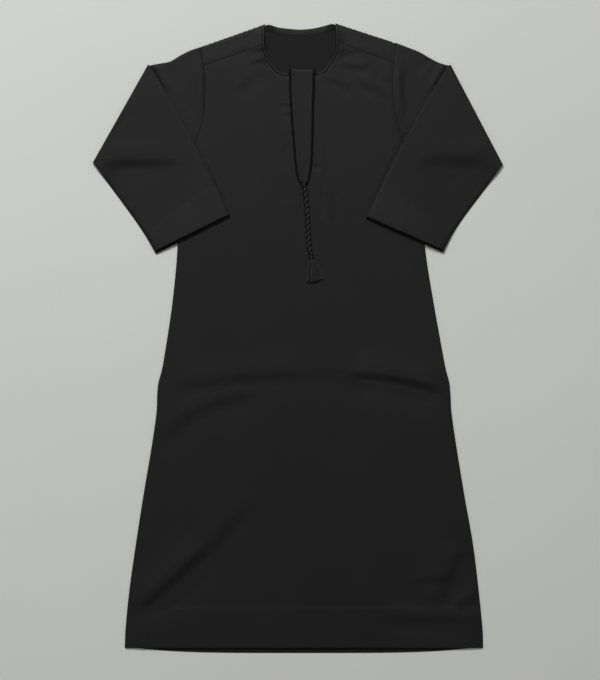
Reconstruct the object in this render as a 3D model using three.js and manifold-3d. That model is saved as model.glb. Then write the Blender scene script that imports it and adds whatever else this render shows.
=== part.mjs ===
// A thobe laid flat on its back, with both sleeves folded over the front.
// Millimetres. +Z is up from the floor, +Y points to the neck, +X to the viewer's right.
// The back lies on the floor, the front lies on the back, and the forearms lie on the front.
import * as THREE from "three";
import { mergeVertices } from "three/addons/utils/BufferGeometryUtils.js";
import Module from "manifold-3d";

const wasm = await Module();
wasm.setup();

// Driving sizes
const wall = 1.2; // thickness of one layer of cloth
const seamGap = 0.3; // space between two pieces at a seam
const edgeRadius = 2; // radius of a rolled edge, where two layers meet
const layHeight = 2 * edgeRadius; // height of two layers at their rolled edge
const turnRadius = 0.45; // inner radius of the turn where a sleeve folds back on itself
const crownHeight = 1.1; // how far the front stands up between its edges
const edgeFade = 45; // width of the strip along an edge where the front comes down
const hemDepth = 95; // depth of the hem at the foot of the front
const hemStep = 0.4; // extra height of the turned-up hem
const frontHemY = -703.5;
const backHem = { sideY: -700, dip: 13.5 };
const bandRise = 0.3; // how far the neckband stands above the panel that it edges
const neckLip = 8; // length of the lower lip of a strip that is rolled over the shoulder
const placketRise = 1.9; // thickness of the placket, two layers pressed flat
const piping = { halfWidth: 1.9, rise: 1.3 };
const cord = { diameter: 11, sides: 10, steps: 12 };
const onCloth = 0.3; // clearance under what lies on the front
const originShift = { x: 0.05, y: 0.1 }; // brings the middle of the outline to the origin
const clothColour = 0x222221;
const trimColour = 0x101010;

// The side edges of the body, from the hem to the underarm
const sideRows = [
  { y: -704, left: -392.6, right: 420.3 },
  { y: -662, left: -390.9, right: 419.0 },
  { y: -576, left: -382.6, right: 410.5 },
  { y: -467, left: -367.3, right: 397.2 },
  { y: -358, left: -350.4, right: 378.0 },
  { y: -250, left: -332.2, right: 360.3 },
  { y: -168, left: -320.5, right: 348.5 },
  { y: -127, left: -318.9, right: 346.1 },
  { y: -100, left: -315.9, right: 343.4 },
  { y: -73, left: -308.5, right: 336.1 },
  { y: -32, left: -301.2, right: 328.2 },
  { y: 77, left: -284.9, right: 308.5 },
  { y: 199, left: -273.3, right: 289.2 },
  { y: 399, left: -264.7, right: 270.2 },
  { y: 720, left: -264.7, right: 270.2 },
];

// Rows of the front's mesh, from the hem up: each band ends at a height and is cut in equal steps
const frontBands = [
  { top: -610, steps: 3 },
  { top: -190, steps: 10 },
  { top: -60, steps: 7 },
  { top: 400, steps: 10 },
  { top: 690, steps: 8 },
];
const frontColumns = 20;

// The rows bow up in the middle with the long fold across the skirt
const rowBow = { y: -127, bow: 39, reach: 120 };

// Folds of the front: two ends, how far the middle bows to the left of the way from one end to
// the other, half the width, and the height, which is below zero for a trough
const folds = [
  { name: "long cross fold", x1: -265, y1: -121, x2: 318, y2: -119, bow: 31, half: 19, height: -1.1 },
  { name: "cross fold, right end", x1: 130, y1: -88, x2: 318, y2: -119, bow: 6, half: 16, height: -0.6 },
  { name: "ridge over the cross fold", x1: -240, y1: -78, x2: 300, y2: -76, bow: 31, half: 26, height: 0.7 },
  { name: "left arc", x1: -318, y1: -222, x2: -96, y2: -134, bow: 20, half: 19, height: -0.8 },
  { name: "lower left trough", x1: -348, y1: -600, x2: -105, y2: -360, bow: -14, half: 26, height: -1.1 },
  { name: "lower left ridge", x1: -350, y1: -550, x2: -150, y2: -345, bow: -12, half: 30, height: 0.8 },
  { name: "lower right trough", x1: 398, y1: -495, x2: 270, y2: -560, bow: 0, half: 22, height: -0.8 },
  { name: "left side arc", x1: -340, y1: -351, x2: -225, y2: -303, bow: 6, half: 20, height: -0.5 },
  { name: "left chest pull", x1: -136, y1: 548, x2: -78, y2: 606, bow: 0, half: 14, height: -0.6 },
  { name: "right chest pull", x1: 76, y1: 590, x2: 118, y2: 548, bow: 0, half: 14, height: -0.6 },
  { name: "right of the cord", x1: 74, y1: 350, x2: 88, y2: 240, bow: 5, half: 17, height: 0.5 },
];

// Neck opening: the finished edge, from the shoulder down to the placket, on each side
const neckEdge = {
  left: [
    { x: -74.3, y: 700 },
    { x: -74.3, y: 673 },
    { x: -73.2, y: 658 },
    { x: -63.7, y: 632.2 },
    { x: -51.7, y: 616.3 },
    { x: -38.1, y: 604.2 },
    { x: -21.2, y: 600.4 },
  ],
  right: [
    { x: 85.4, y: 700 },
    { x: 85.4, y: 675 },
    { x: 83.2, y: 652 },
    { x: 75.6, y: 635 },
    { x: 66.2, y: 619.9 },
    { x: 56, y: 607.5 },
    { x: 41.2, y: 602.4 },
  ],
};
const bandWidth = 7;
const neckFootY = 602; // top of the front between the two ends of the band, under the placket

// The back stretch of the band: its finished edge and its seam to the back
const backBand = [
  { x: -81.3, edge: 705.5, seam: 696.8 },
  { x: -66, edge: 709.5, seam: 694.5 },
  { x: -45, edge: 704.5, seam: 690.2 },
  { x: -22, edge: 701.5, seam: 686.5 },
  { x: 5, edge: 699.5, seam: 684.7 },
  { x: 34, edge: 702, seam: 687.7 },
  { x: 61.7, edge: 708, seam: 692.5 },
  { x: 78, edge: 711.5, seam: 697 },
  { x: 92.4, edge: 707.5, seam: 698.8 },
];

const backBandSteps = 20;

// Each shoulder: the fold at the top, from the neck to the arm, and the seam in front of it
const shoulders = {
  left: {
    fold: [{ x: -74.3, y: 711.5 }, { x: -221.7, y: 659.4 }],
    seam: [{ x: -74.3, y: 666.5 }, { x: -131, y: 645.8 }, { x: -214.2, y: 617.3 }],
    bandX: -81.3,
  },
  right: {
    fold: [{ x: 85.4, y: 713.3 }, { x: 224.9, y: 668.2 }],
    seam: [{ x: 85.4, y: 672.5 }, { x: 129.7, y: 656 }, { x: 217, y: 624.5 }],
    bandX: 92.4,
  },
};

// Each sleeve: the armhole from the shoulder to the underarm, the folded edge, and the cuff
const sleeves = {
  left: {
    armhole: [
      { x: -221.7, y: 659.4 },
      { x: -214.2, y: 617.3 },
      { x: -209.9, y: 575.5 },
      { x: -212.4, y: 517.5 },
      { x: -219.6, y: 481.2 },
      { x: -234, y: 437.7 },
      { x: -264.7, y: 398.7 },
    ],
    foldTop: { x: -339.5, y: 619.7 },
    foldFoot: { x: -465.4, y: 396.4 },
    cuffInner: { x: -152.3, y: 273.4 },
    cuffOuter: { x: -323.4, y: 194.2 },
    topSag: 8,
    innerBow: 6,
    outerBow: 4,
  },
  right: {
    armhole: [
      { x: 224.9, y: 668.2 },
      { x: 217, y: 624.5 },
      { x: 214.6, y: 575.5 },
      { x: 219.6, y: 517.5 },
      { x: 227.2, y: 481.2 },
      { x: 239.4, y: 441 },
      { x: 270.2, y: 398.7 },
    ],
    foldTop: { x: 346.1, y: 619.7 },
    foldFoot: { x: 465.2, y: 395.3 },
    cuffInner: { x: 154.4, y: 269.5 },
    cuffOuter: { x: 330.4, y: 197 },
    topSag: 5.5,
    innerBow: 8,
    outerBow: 6,
  },
};
const sleeveColumns = 7; // spaces across one layer of a sleeve
const sleeveSteps = { upper: 5, turn: 6, forearm: 15 };
const drop = { start: 10, width: 30 }; // where a forearm comes down from the layers under it
const sagPlace = 2.6; // above 1, the upper edge of the arm sags nearer to the fold than to the body
const bowPlace = 1.8; // the same for the outer edge of the forearm, which bows nearer to the cuff
const cuffLift = 0.8; // how far the end of a sleeve stands off the front
const cuffOpening = 1; // how far the cuff opens beyond the sleeve

// The placket between the middle lines of its two pipings
const placketRows = [
  { y: 609, left: -17.6, right: 37.3 },
  { y: 566, left: -17.7, right: 36.8 },
  { y: 528, left: -15.6, right: 34.9 },
  { y: 494, left: -13.6, right: 34.3 },
  { y: 451, left: -9.9, right: 33.6 },
  { y: 419, left: -7.4, right: 32.5 },
  { y: 387, left: -4.4, right: 30.3 },
  { y: 365, left: -0.6, right: 26.4 },
  { y: 353, left: 3.8, right: 23.6 },
  { y: 345.5, left: 8, right: 19.7 },
];
const placketFootY = 351.4; // the pipings run on from here to meet under the knot

// The twisted cord from the knot at the tip of the placket to the tassel, seen from above
const knot = { x: 13.8, y: 346, radius: 5.6 };
const cordPlan = [
  { x: 14.4, y: 340.8 },
  { x: 16.4, y: 326 },
  { x: 18.4, y: 308 },
  { x: 19.9, y: 290 },
  { x: 21, y: 270 },
  { x: 22.3, y: 250 },
  { x: 24, y: 230 },
  { x: 26, y: 210 },
  { x: 28, y: 197 },
  { x: 28.8, y: 188.9 },
];
const tassel = {
  knob: { x: 29.6, y: 183, radius: 5.4 },
  head: { x: 31.6, y: 173, halfWidth: 6.2, halfLength: 8.5, halfHeight: 5.2 },
  footY: 124,
  footLeft: 19.5,
  footRight: 57.5,
  footRise: 7, // how much higher the right end of the foot lies
  rootHalfWidth: 4.6,
  columns: 13,
  layers: 3,
  threadWidth: 1.9,
  layerSpacing: 2.5,
};

// Small helpers
const mix = (a, b, t) => a + (b - a) * t;
const mixPoint = (a, b, t) => ({ x: mix(a.x, b.x, t), y: mix(a.y, b.y, t) });
const smooth = (from, to, value) => {
  const t = Math.min(1, Math.max(0, (value - from) / (to - from)));
  return t * t * (3 - 2 * t);
};

// Reads one column of a table at a place along another, with a smooth curve through the rows
function readTable(rows, key, place, column) {
  const last = rows.length - 1;
  const rising = rows[last][key] > rows[0][key];
  let i = 0;
  while (i < last - 1 && rising === place > rows[i + 1][key]) i += 1;
  const slope = (k) => {
    const a = rows[Math.max(0, k - 1)];
    const b = rows[Math.min(last, k + 1)];
    return (b[column] - a[column]) / (b[key] - a[key]);
  };
  const span = rows[i + 1][key] - rows[i][key];
  const t = Math.min(1, Math.max(0, (place - rows[i][key]) / span));
  const a = rows[i][column];
  const b = rows[i + 1][column];
  const bend = t * t * (3 - 2 * t);
  const start = slope(i) * span * t * (1 - t) * (1 - t);
  const end = slope(i + 1) * span * t * t * (1 - t);
  return a + (b - a) * bend + start - end;
}

// A smooth plan curve through points, cut in equal steps
function planCurve(points, steps) {
  const curve = new THREE.SplineCurve(points.map((p) => new THREE.Vector2(p.x, p.y)));
  return curve.getSpacedPoints(steps);
}

// A plan line moved sideways, to the left of its own direction
function movedLine(points, distance) {
  return points.map((p, i) => {
    const a = points[Math.max(0, i - 1)];
    const b = points[Math.min(points.length - 1, i + 1)];
    const length = Math.hypot(b.x - a.x, b.y - a.y);
    return { x: p.x - (distance * (b.y - a.y)) / length, y: p.y + (distance * (b.x - a.x)) / length };
  });
}

// A point at a share of the way along a line that is cut in equal steps
function pointAlong(line, share) {
  const place = Math.min(1, Math.max(0, share)) * (line.length - 1);
  const i = Math.min(line.length - 2, Math.floor(place));
  return mixPoint(line[i], line[i + 1], place - i);
}

const armholeCurve = (side) => planCurve(sleeves[side].armhole, 80);

// Where the columns of one layer of a sleeve lie, as shares of its width
function layerShares(width) {
  const shares = [];
  for (let c = 0; c <= sleeveColumns; c += 1)
    shares.push(mix(edgeRadius, width - edgeRadius, c / sleeveColumns) / width);
  return shares;
}

// Solids
function solidOf(geometry) {
  const bare = geometry.clone();
  bare.deleteAttribute("normal");
  bare.deleteAttribute("uv");
  const merged = mergeVertices(bare, 1e-4);
  const triVerts = new Uint32Array(merged.index.array);
  return new wasm.Manifold(
    new wasm.Mesh({ numProp: 3, vertProperties: merged.attributes.position.array, triVerts }),
  );
}

function geometryOf(solid) {
  const mesh = solid.getMesh();
  const geometry = new THREE.BufferGeometry();
  geometry.setAttribute("position", new THREE.BufferAttribute(mesh.vertProperties, 3));
  geometry.setIndex(new THREE.BufferAttribute(mesh.triVerts, 1));
  return geometry;
}

// A closed wall from rows of paired points, one on each face. A ringed wall joins its last
// column to its first. Both faces are split along the same diagonals, so the wall keeps its
// thickness.
function wallOf(rows, ringed = false) {
  const across = rows[0].length;
  const spaces = ringed ? across : across - 1;
  const positions = [];
  for (const face of ["over", "under"])
    for (const row of rows) for (const pair of row) positions.push(...pair[face].toArray());
  const index = [];
  const over = (r, c) => r * across + (c % across);
  const under = (r, c) => rows.length * across + over(r, c);
  const quad = (a, b, c, d) => index.push(a, b, c, a, c, d);
  for (let r = 0; r < rows.length - 1; r += 1)
    for (let c = 0; c < spaces; c += 1) {
      quad(over(r, c), over(r, c + 1), over(r + 1, c + 1), over(r + 1, c));
      index.push(under(r, c), under(r + 1, c + 1), under(r, c + 1));
      index.push(under(r, c), under(r + 1, c), under(r + 1, c + 1));
    }
  const end = rows.length - 1;
  for (let c = 0; c < spaces; c += 1) {
    quad(under(0, c), under(0, c + 1), over(0, c + 1), over(0, c));
    quad(over(end, c), over(end, c + 1), under(end, c + 1), under(end, c));
  }
  if (!ringed)
    for (let r = 0; r < end; r += 1) {
      quad(over(r, 0), over(r + 1, 0), under(r + 1, 0), under(r, 0));
      quad(under(r, spaces), under(r + 1, spaces), over(r + 1, spaces), over(r, spaces));
    }
  return facingOut(positions, index);
}

// Turns the faces round where they point inwards
function facingOut(positions, index) {
  let sixVolumes = 0;
  const corner = (i) => new THREE.Vector3().fromArray(positions, 3 * i);
  for (let i = 0; i < index.length; i += 3)
    sixVolumes += corner(index[i]).dot(corner(index[i + 1]).cross(corner(index[i + 2])));
  if (sixVolumes < 0) index.reverse();
  const geometry = new THREE.BufferGeometry();
  geometry.setAttribute("position", new THREE.Float32BufferAttribute(positions, 3));
  geometry.setIndex(index);
  return geometry;
}

// A tall block over a plan outline, which cuts a wall to the shape of its pattern piece
function cutterOf(outline) {
  const shape = new THREE.Shape(outline.map((p) => new THREE.Vector2(p.x, p.y)));
  const block = new THREE.ExtrudeGeometry(shape, { depth: 60, bevelEnabled: false });
  block.translate(0, 0, -20);
  return solidOf(block);
}

// Heights
const sideX = (y, side) => readTable(sideRows, "y", y, side);

// The shoulder's fold, seen from above, as a height along Y for a place along X
function shoulderY(x) {
  const fold = x < 5 ? shoulders.left.fold : shoulders.right.fold;
  const t = (x - fold[0].x) / (fold[1].x - fold[0].x);
  return mix(fold[0].y, fold[1].y, t);
}

function foldHeight(fold, x, y) {
  const length = Math.hypot(fold.x2 - fold.x1, fold.y2 - fold.y1);
  const ux = (fold.x2 - fold.x1) / length;
  const uy = (fold.y2 - fold.y1) / length;
  const along = ((x - fold.x1) * ux + (y - fold.y1) * uy) / length;
  if (along <= 0 || along >= 1) return 0;
  const aside = (y - fold.y1) * ux - (x - fold.x1) * uy;
  const off = (aside - fold.bow * 4 * along * (1 - along)) / fold.half;
  const ends = smooth(0, 0.25, along) * smooth(0, 0.25, 1 - along);
  return fold.height * Math.exp(-off * off) * ends;
}

// Top of the front, above the floor
function frontTop(x, y) {
  const fromSide = Math.min(x - sideX(y, "left"), sideX(y, "right") - x) - edgeRadius;
  const fromShoulder = shoulderY(x) - edgeRadius - y;
  const fade = smooth(0, edgeFade, fromSide) * smooth(0, edgeFade, fromShoulder);
  const relief = folds.reduce((sum, fold) => sum + foldHeight(fold, x, y), crownHeight);
  const hem = hemStep * smooth(0, 6, frontHemY + hemDepth - y);
  return layHeight + fade * (relief + hem);
}

const floorTop = () => 0;

// A point on a height function and the way that its surface faces
function pairOn(top, x, y, thickness, lift = 0) {
  const step = 1;
  const dx = (top(x + step, y) - top(x - step, y)) / (2 * step);
  const dy = (top(x, y + step) - top(x, y - step)) / (2 * step);
  const normal = new THREE.Vector3(-dx, -dy, 1).normalize();
  const under = new THREE.Vector3(x, y, top(x, y) + lift);
  return { over: under.clone().addScaledVector(normal, thickness), under };
}

// Body panels
const cutMargin = 8; // how far a piece runs past the line where it is then cut
const bodyReach = 900; // past the garment's outline on every side

function bandedHeights(start, bands) {
  const heights = [start];
  for (const band of bands) {
    const from = heights[heights.length - 1];
    for (let i = 1; i <= band.steps; i += 1) heights.push(mix(from, band.top, i / band.steps));
  }
  return heights;
}

// The rolled edge of a panel: a quarter turn from flat down, or up, to the seam at mid height
const rollAngles = [55, 22].map(THREE.MathUtils.degToRad);

function rolledEdge(edgeX, y, side, upper) {
  const inward = side === "left" ? 1 : -1;
  const way = upper ? 1 : -1;
  const centreX = edgeX + inward * edgeRadius;
  const point = (radius, across, up) =>
    new THREE.Vector3(centreX - inward * radius * across, y, edgeRadius + way * up);
  const pair = (across, outerUp, innerUp) => {
    const outer = point(edgeRadius, across, outerUp);
    const inner = point(edgeRadius - wall, across, innerUp);
    return upper ? { over: outer, under: inner } : { over: inner, under: outer };
  };
  const turn = rollAngles.map((angle) =>
    pair(Math.cos(angle), edgeRadius * Math.sin(angle), (edgeRadius - wall) * Math.sin(angle)),
  );
  const seam = pair(1, seamGap / 2, seamGap / 2);
  return side === "left" ? [seam, ...turn.reverse()] : [...turn, seam];
}

function panelRow(y, columns, rowHeight, makePair, upper) {
  const left = sideX(y, "left");
  const right = sideX(y, "right");
  const row = [...rolledEdge(left, rowHeight(0), "left", upper)];
  for (let c = 0; c <= columns; c += 1) {
    const u = c / columns;
    row.push(makePair(mix(left + edgeRadius, right - edgeRadius, u), rowHeight(u)));
  }
  return [...row, ...rolledEdge(right, rowHeight(1), "right", upper)];
}

function frontSheet() {
  const rows = bandedHeights(frontHemY, frontBands).map((y) => {
    const bow = rowBow.bow * Math.exp(-(((y - rowBow.y) / rowBow.reach) ** 2));
    const rowHeight = (u) => y + bow * (1 - (2 * u - 1) ** 2);
    const makePair = (x, height) => pairOn((a, b) => frontTop(a, b) - wall, x, height, wall);
    return panelRow(y, frontColumns, rowHeight, makePair, true);
  });
  return solidOf(wallOf(rows));
}

function backSheet() {
  const columns = 8;
  const rows = sideRows.map(({ y }, i) => {
    const dip = i === 0 ? backHem.dip : 0;
    const edge = i === 0 ? backHem.sideY : y;
    const rowHeight = (u) => edge - dip * (1 - (2 * u - 1) ** 4);
    const makePair = (x, height) => pairOn(floorTop, x, height, wall);
    return panelRow(y, columns, rowHeight, makePair, false);
  });
  return solidOf(wallOf(rows));
}

// A strip rolled over the shoulder: a lower lip, half a turn, and a first point on the front
function overShoulder(fold, inward, lip) {
  const place = (distance, z) =>
    new THREE.Vector3(fold.x + inward.x * distance, fold.y + inward.y * distance, z);
  const pairs = [{ over: place(edgeRadius + lip, 0), under: place(edgeRadius + lip, wall) }];
  for (const degrees of [-90, -45, 0, 45, 90]) {
    const angle = THREE.MathUtils.degToRad(degrees);
    const at = (radius) =>
      place(edgeRadius - radius * Math.cos(angle), edgeRadius + radius * Math.sin(angle));
    pairs.push({ over: at(edgeRadius), under: at(edgeRadius - wall) });
  }
  return pairs;
}

const directionOf = (from, to) => {
  const length = Math.hypot(to.x - from.x, to.y - from.y);
  return { x: (to.x - from.x) / length, y: (to.y - from.y) / length, length };
};

// The part of the back that wraps over a shoulder and comes down to the seam in front of it
function shoulderWrap(side) {
  const { fold, seam, bandX } = shoulders[side];
  const stations = 8;
  const outward = Math.sign(bandX);
  const start = bandX + outward * seamGap;
  const rows = [];
  for (let i = 0; i <= stations; i += 1) {
    const share = i / stations;
    const topX = mix(start, fold[1].x + outward * cutMargin, share);
    const footX = mix(start, seam[seam.length - 1].x + outward * cutMargin, share);
    const top = { x: topX, y: shoulderY(topX) };
    const inward = directionOf(top, { x: footX, y: readTable(seam, "x", footX, "y") });
    const row = overShoulder(top, inward, neckLip);
    const last = inward.length - seamGap / 2;
    for (const reach of [0.5, 1]) {
      const distance = mix(edgeRadius, last, reach);
      const place = { x: top.x + inward.x * distance, y: top.y + inward.y * distance };
      row.push(pairOn((a, b) => frontTop(a, b) - wall, place.x, place.y, wall));
    }
    rows.push(row);
  }
  return solidOf(wallOf(rows));
}

// Outline of the body at the armholes and below them, wide open to the sides and the neck
function armholeCut(side) {
  const curve = armholeCurve(side);
  const width = directionOf(curve[0], curve[curve.length - 1]).length;
  const line = [0, ...layerShares(width), 1].map((share) => pointAlong(curve, share));
  const top = directionOf(line[1], line[0]);
  const above = { x: line[0].x + top.x * cutMargin, y: line[0].y + top.y * cutMargin };
  const inwards = side === "left" ? seamGap / 2 : -seamGap / 2;
  return movedLine([above, ...line], inwards);
}

function sideCut(side) {
  const armhole = armholeCut(side);
  const corner = armhole[armhole.length - 1];
  const out = side === "left" ? -bodyReach : bodyReach;
  return [...armhole, { x: corner.x, y: corner.y - seamGap }, { x: out, y: corner.y - seamGap }];
}

const farFoot = [{ x: -bodyReach, y: -bodyReach }, { x: bodyReach, y: -bodyReach }];

// The finished edge of the neckband and its seam to the front, from the shoulder down
const bandEdge = (side) => planCurve(neckEdge[side], 18);
const bandSeam = (side) => movedLine(bandEdge(side), side === "left" ? -bandWidth : bandWidth);

// The front's outline from the armhole along the shoulder seam and down the neck to the placket
function frontNeck(side) {
  const inward = side === "left" ? 1 : -1;
  const band = movedLine(bandSeam(side), -inward * seamGap);
  const { seam } = shoulders[side];
  const steps = 12;
  const line = [];
  for (let i = 0; i <= steps; i += 1) {
    const x = mix(seam[seam.length - 1].x, band[0].x, i / steps);
    line.push({ x, y: readTable(seam, "x", x, "y") - seamGap / 2 });
  }
  const neck = band.filter((p) => p.y < line[steps].y - 1);
  const footX = neckEdge[side][neckEdge[side].length - 1].x + inward * seamGap;
  const foot = [{ x: footX, y: neck[neck.length - 1].y }, { x: footX, y: neckFootY }];
  return [...line, ...neck, ...foot];
}

function frontCutter() {
  const half = (side) => {
    const neck = frontNeck(side);
    const armhole = sideCut(side).filter((p) => p.y < neck[0].y - 1);
    return [...neck.reverse(), ...armhole];
  };
  return cutterOf([...half("left"), ...farFoot, ...half("right").reverse()]);
}

function backCutter() {
  const steps = backBandSteps;
  const seam = [];
  for (let i = 1; i < steps; i += 1) {
    const x = mix(backBand[0].x, backBand[backBand.length - 1].x, i / steps);
    seam.push({ x, y: readTable(backBand, "x", x, "seam") - seamGap });
  }
  const corner = (side) => {
    const outward = side === "left" ? -1 : 1;
    const { fold, bandX } = shoulders[side];
    const line = (x) => ({ x, y: shoulderY(x) - edgeRadius - neckLip / 2 });
    const neckX = bandX + outward * seamGap;
    const band = backBand[side === "left" ? 0 : backBand.length - 1];
    const foot = { x: neckX, y: band.seam - seamGap };
    return [line(fold[1].x + outward * cutMargin), line(neckX), foot];
  };
  const top = [...corner("left"), ...seam, ...corner("right").reverse()];
  const ends = [-bodyReach, bodyReach].map((x) => ({ x, y: top[0].y }));
  return cutterOf([...farFoot, ends[1], ...top.reverse(), ends[0]]);
}

function makeFront() {
  return geometryOf(frontSheet().intersect(frontCutter()));
}

function makeBack() {
  const flat = backSheet().intersect(backCutter());
  const wrapped = flat.add(shoulderWrap("left")).add(shoulderWrap("right"));
  const aboveX = sleeves.right.armhole[0].x;
  const above = [{ x: aboveX, y: bodyReach }, { x: -aboveX, y: bodyReach }];
  const outline = [...sideCut("left"), ...farFoot, ...sideCut("right").reverse(), ...above];
  return geometryOf(wrapped.intersect(cutterOf(outline)));
}

// Neckband
function frontStretch(side) {
  const edge = bandEdge(side);
  const seam = bandSeam(side);
  const rowFor = (share) => {
    const column = edge.map((p, i) => mixPoint(p, seam[i], share));
    const fold = { x: column[0].x, y: shoulderY(column[0].x) };
    const pairs = overShoulder(fold, { x: 0, y: -1 }, neckLip);
    const lifted = (p) => pairOn((a, b) => frontTop(a, b) - wall, p.x, p.y, wall + bandRise);
    return [...pairs, ...column.map(lifted)];
  };
  return solidOf(wallOf([rowFor(0), rowFor(0.5), rowFor(1)]));
}

function backStretch() {
  const steps = backBandSteps;
  const rows = [];
  for (let i = 0; i <= steps; i += 1) {
    const x = mix(backBand[0].x, backBand[backBand.length - 1].x, i / steps);
    const edge = readTable(backBand, "x", x, "edge");
    const seam = readTable(backBand, "x", x, "seam");
    rows.push([seam, edge].map((y) => pairOn(floorTop, x, y, wall + bandRise / 2)));
  }
  return solidOf(wallOf(rows));
}

const makeNeckband = () =>
  geometryOf(backStretch().add(frontStretch("left")).add(frontStretch("right")));

// Sleeves
function makeSleeve(side) {
  const part = sleeves[side];
  const centreWay = side === "left" ? 1 : -1;
  const armLine = movedLine(armholeCurve(side), (-centreWay * seamGap) / 2);
  const bend = edgeRadius + turnRadius; // radius of the middle of the tube in the turn
  const reach = 2 * edgeRadius + turnRadius; // how far the turn stands out from the fold's axis
  const foldWay = directionOf(part.foldTop, part.foldFoot);
  const outward = new THREE.Vector3(foldWay.y * centreWay, -foldWay.x * centreWay, 0);
  const axisPoint = (w) => {
    const p = mixPoint(part.foldTop, part.foldFoot, w);
    return { x: p.x - outward.x * reach, y: p.y - outward.y * reach };
  };
  const armPoint = (w) => pointAlong(armLine, w);
  const innerWay = directionOf(part.foldTop, part.cuffInner);
  const bowWay = { x: -innerWay.y * centreWay, y: innerWay.x * centreWay };
  const forearmPoint = (t, w) => {
    const inner = mixPoint(axisPoint(0), part.cuffInner, t);
    const outer = mixPoint(axisPoint(1), part.cuffOuter, t);
    const innerBow = part.innerBow * 4 * t * (1 - t);
    const outerBow = part.outerBow * Math.sin(Math.PI * t ** bowPlace);
    const bow = mix(innerBow, outerBow, w);
    const p = mixPoint(inner, outer, w);
    return { x: p.x + bowWay.x * bow, y: p.y + bowWay.y * bow };
  };
  // Top of what lies under the forearm, with the clearance that keeps them apart
  const coveredTop = (x, y) => {
    const edge = sideX(y, side);
    const fromBody = side === "left" ? edge - x : x - edge;
    const fromArm = part.armhole[part.armhole.length - 1].y - y;
    const away = Math.min(fromBody, fromArm);
    const covered = 1 - smooth(drop.start, drop.start + drop.width, away);
    const onBody = frontTop(x, y) + turnRadius;
    return covered * Math.max(layHeight + 2 * turnRadius, onBody);
  };
  const armTop = (t, x, y) => (frontTop(x, y) - layHeight) * (1 - smooth(0, 0.6, t));

  // A station gives the middle of the tube, the way that its front faces, and its two layers
  const stations = [];
  const upright = new THREE.Vector3(0, 0, 1);
  for (let i = 0; i < sleeveSteps.upper; i += 1) {
    const t = i / sleeveSteps.upper;
    stations.push((w) => {
      const p = mixPoint(armPoint(w), axisPoint(w), t);
      p.y -= part.topSag * Math.sin(Math.PI * t ** sagPlace) * (1 - w) ** 2;
      const middle = new THREE.Vector3(p.x, p.y, edgeRadius);
      return { middle, front: upright, puff: armTop(t, p.x, p.y), openWide: 0 };
    });
  }
  for (let i = 0; i <= sleeveSteps.turn; i += 1) {
    const angle = (Math.PI * i) / sleeveSteps.turn;
    stations.push((w) => {
      const p = axisPoint(w);
      const middle = new THREE.Vector3(p.x, p.y, edgeRadius + bend * (1 - Math.cos(angle)));
      middle.addScaledVector(outward, bend * Math.sin(angle));
      const front = outward.clone().multiplyScalar(-Math.sin(angle));
      front.z = Math.cos(angle);
      return { middle, front, puff: 0, openWide: 0 };
    });
  }
  for (let i = 1; i <= sleeveSteps.forearm; i += 1) {
    const t = i / sleeveSteps.forearm;
    stations.push((w) => {
      const p = forearmPoint(t, w);
      const lift = cuffLift * smooth(0.8, 1, t);
      const middle = new THREE.Vector3(p.x, p.y, coveredTop(p.x, p.y) + lift + edgeRadius);
      const openWide = cuffOpening * smooth(0.7, 1, t) + 0.5 * smooth(0, 0.3, t);
      return { middle, front: upright.clone().negate(), puff: 0, openWide };
    });
  }

  const rows = stations.map((station) => {
    const first = station(0).middle;
    const width = first.distanceTo(station(1).middle);
    const ring = [];
    const layer = (up) => {
      const shares = layerShares(width);
      for (const share of up > 0 ? shares : shares.reverse()) {
        const { middle, front, puff, openWide } = station(share);
        const inside = width * Math.min(share, 1 - share);
        const swell = (up > 0 ? puff : openWide) * smooth(0, edgeFade, inside);
        const over = middle.clone().addScaledVector(front, up * (edgeRadius + swell));
        ring.push({ over, under: over.clone().addScaledVector(front, -up * wall) });
      }
    };
    const roll = (foot) => {
      for (const degrees of [45, 0, -45]) {
        const angle = THREE.MathUtils.degToRad(foot ? degrees : -degrees);
        const at = (radius) => {
          const aside = edgeRadius - radius * Math.cos(angle);
          const distance = foot ? width - aside : aside;
          const { middle, front } = station(distance / width);
          return middle.clone().addScaledVector(front, radius * Math.sin(angle));
        };
        ring.push({ over: at(edgeRadius), under: at(edgeRadius - wall) });
      }
    };
    layer(1);
    roll(true);
    layer(-1);
    roll(false);
    return ring;
  });
  return wallOf(rows, true);
}

// Placket and its pipings lie on the front
function strip(rows) {
  return wallOf(
    rows.map((row) =>
      row.map(({ x, y, rise }) => pairOn((a, b) => frontTop(a, b) + onCloth, x, y, rise)),
    ),
  );
}

const placketSteps = 16;
const placketY = (i) => mix(placketRows[0].y, placketFootY, i / placketSteps);

function makePlacket() {
  const rows = [];
  for (let i = 0; i <= placketSteps; i += 1) {
    const y = placketY(i);
    const left = readTable(placketRows, "y", y, "left") + piping.halfWidth + seamGap;
    const right = readTable(placketRows, "y", y, "right") - piping.halfWidth - seamGap;
    rows.push([0, 0.08, 0.5, 0.92, 1].map((u) => {
      const rise = u === 0 || u === 1 ? placketRise - 0.5 : placketRise;
      return { x: mix(left, right, u), y, rise };
    }));
  }
  return strip(rows);
}

function makePiping(side) {
  const rows = [];
  const footY = placketRows[placketRows.length - 1].y;
  for (let i = 0; i <= placketSteps + 1; i += 1) {
    const y = i > placketSteps ? footY : placketY(i);
    const middle = readTable(placketRows, "y", y, side);
    rows.push([-1, -0.4, 0.4, 1].map((u) => {
      const rise = Math.abs(u) === 1 ? piping.rise * 0.4 : piping.rise;
      return { x: middle + u * piping.halfWidth, y, rise };
    }));
  }
  return strip(rows);
}

// Knot, cord and tassel
function makeKnot() {
  const ball = new THREE.SphereGeometry(knot.radius, 12, 8);
  ball.scale(0.86, 0.86, 1);
  ball.translate(knot.x, knot.y, frontTop(knot.x, knot.y) + onCloth + knot.radius);
  return geometryOf(solidOf(ball));
}

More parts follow.
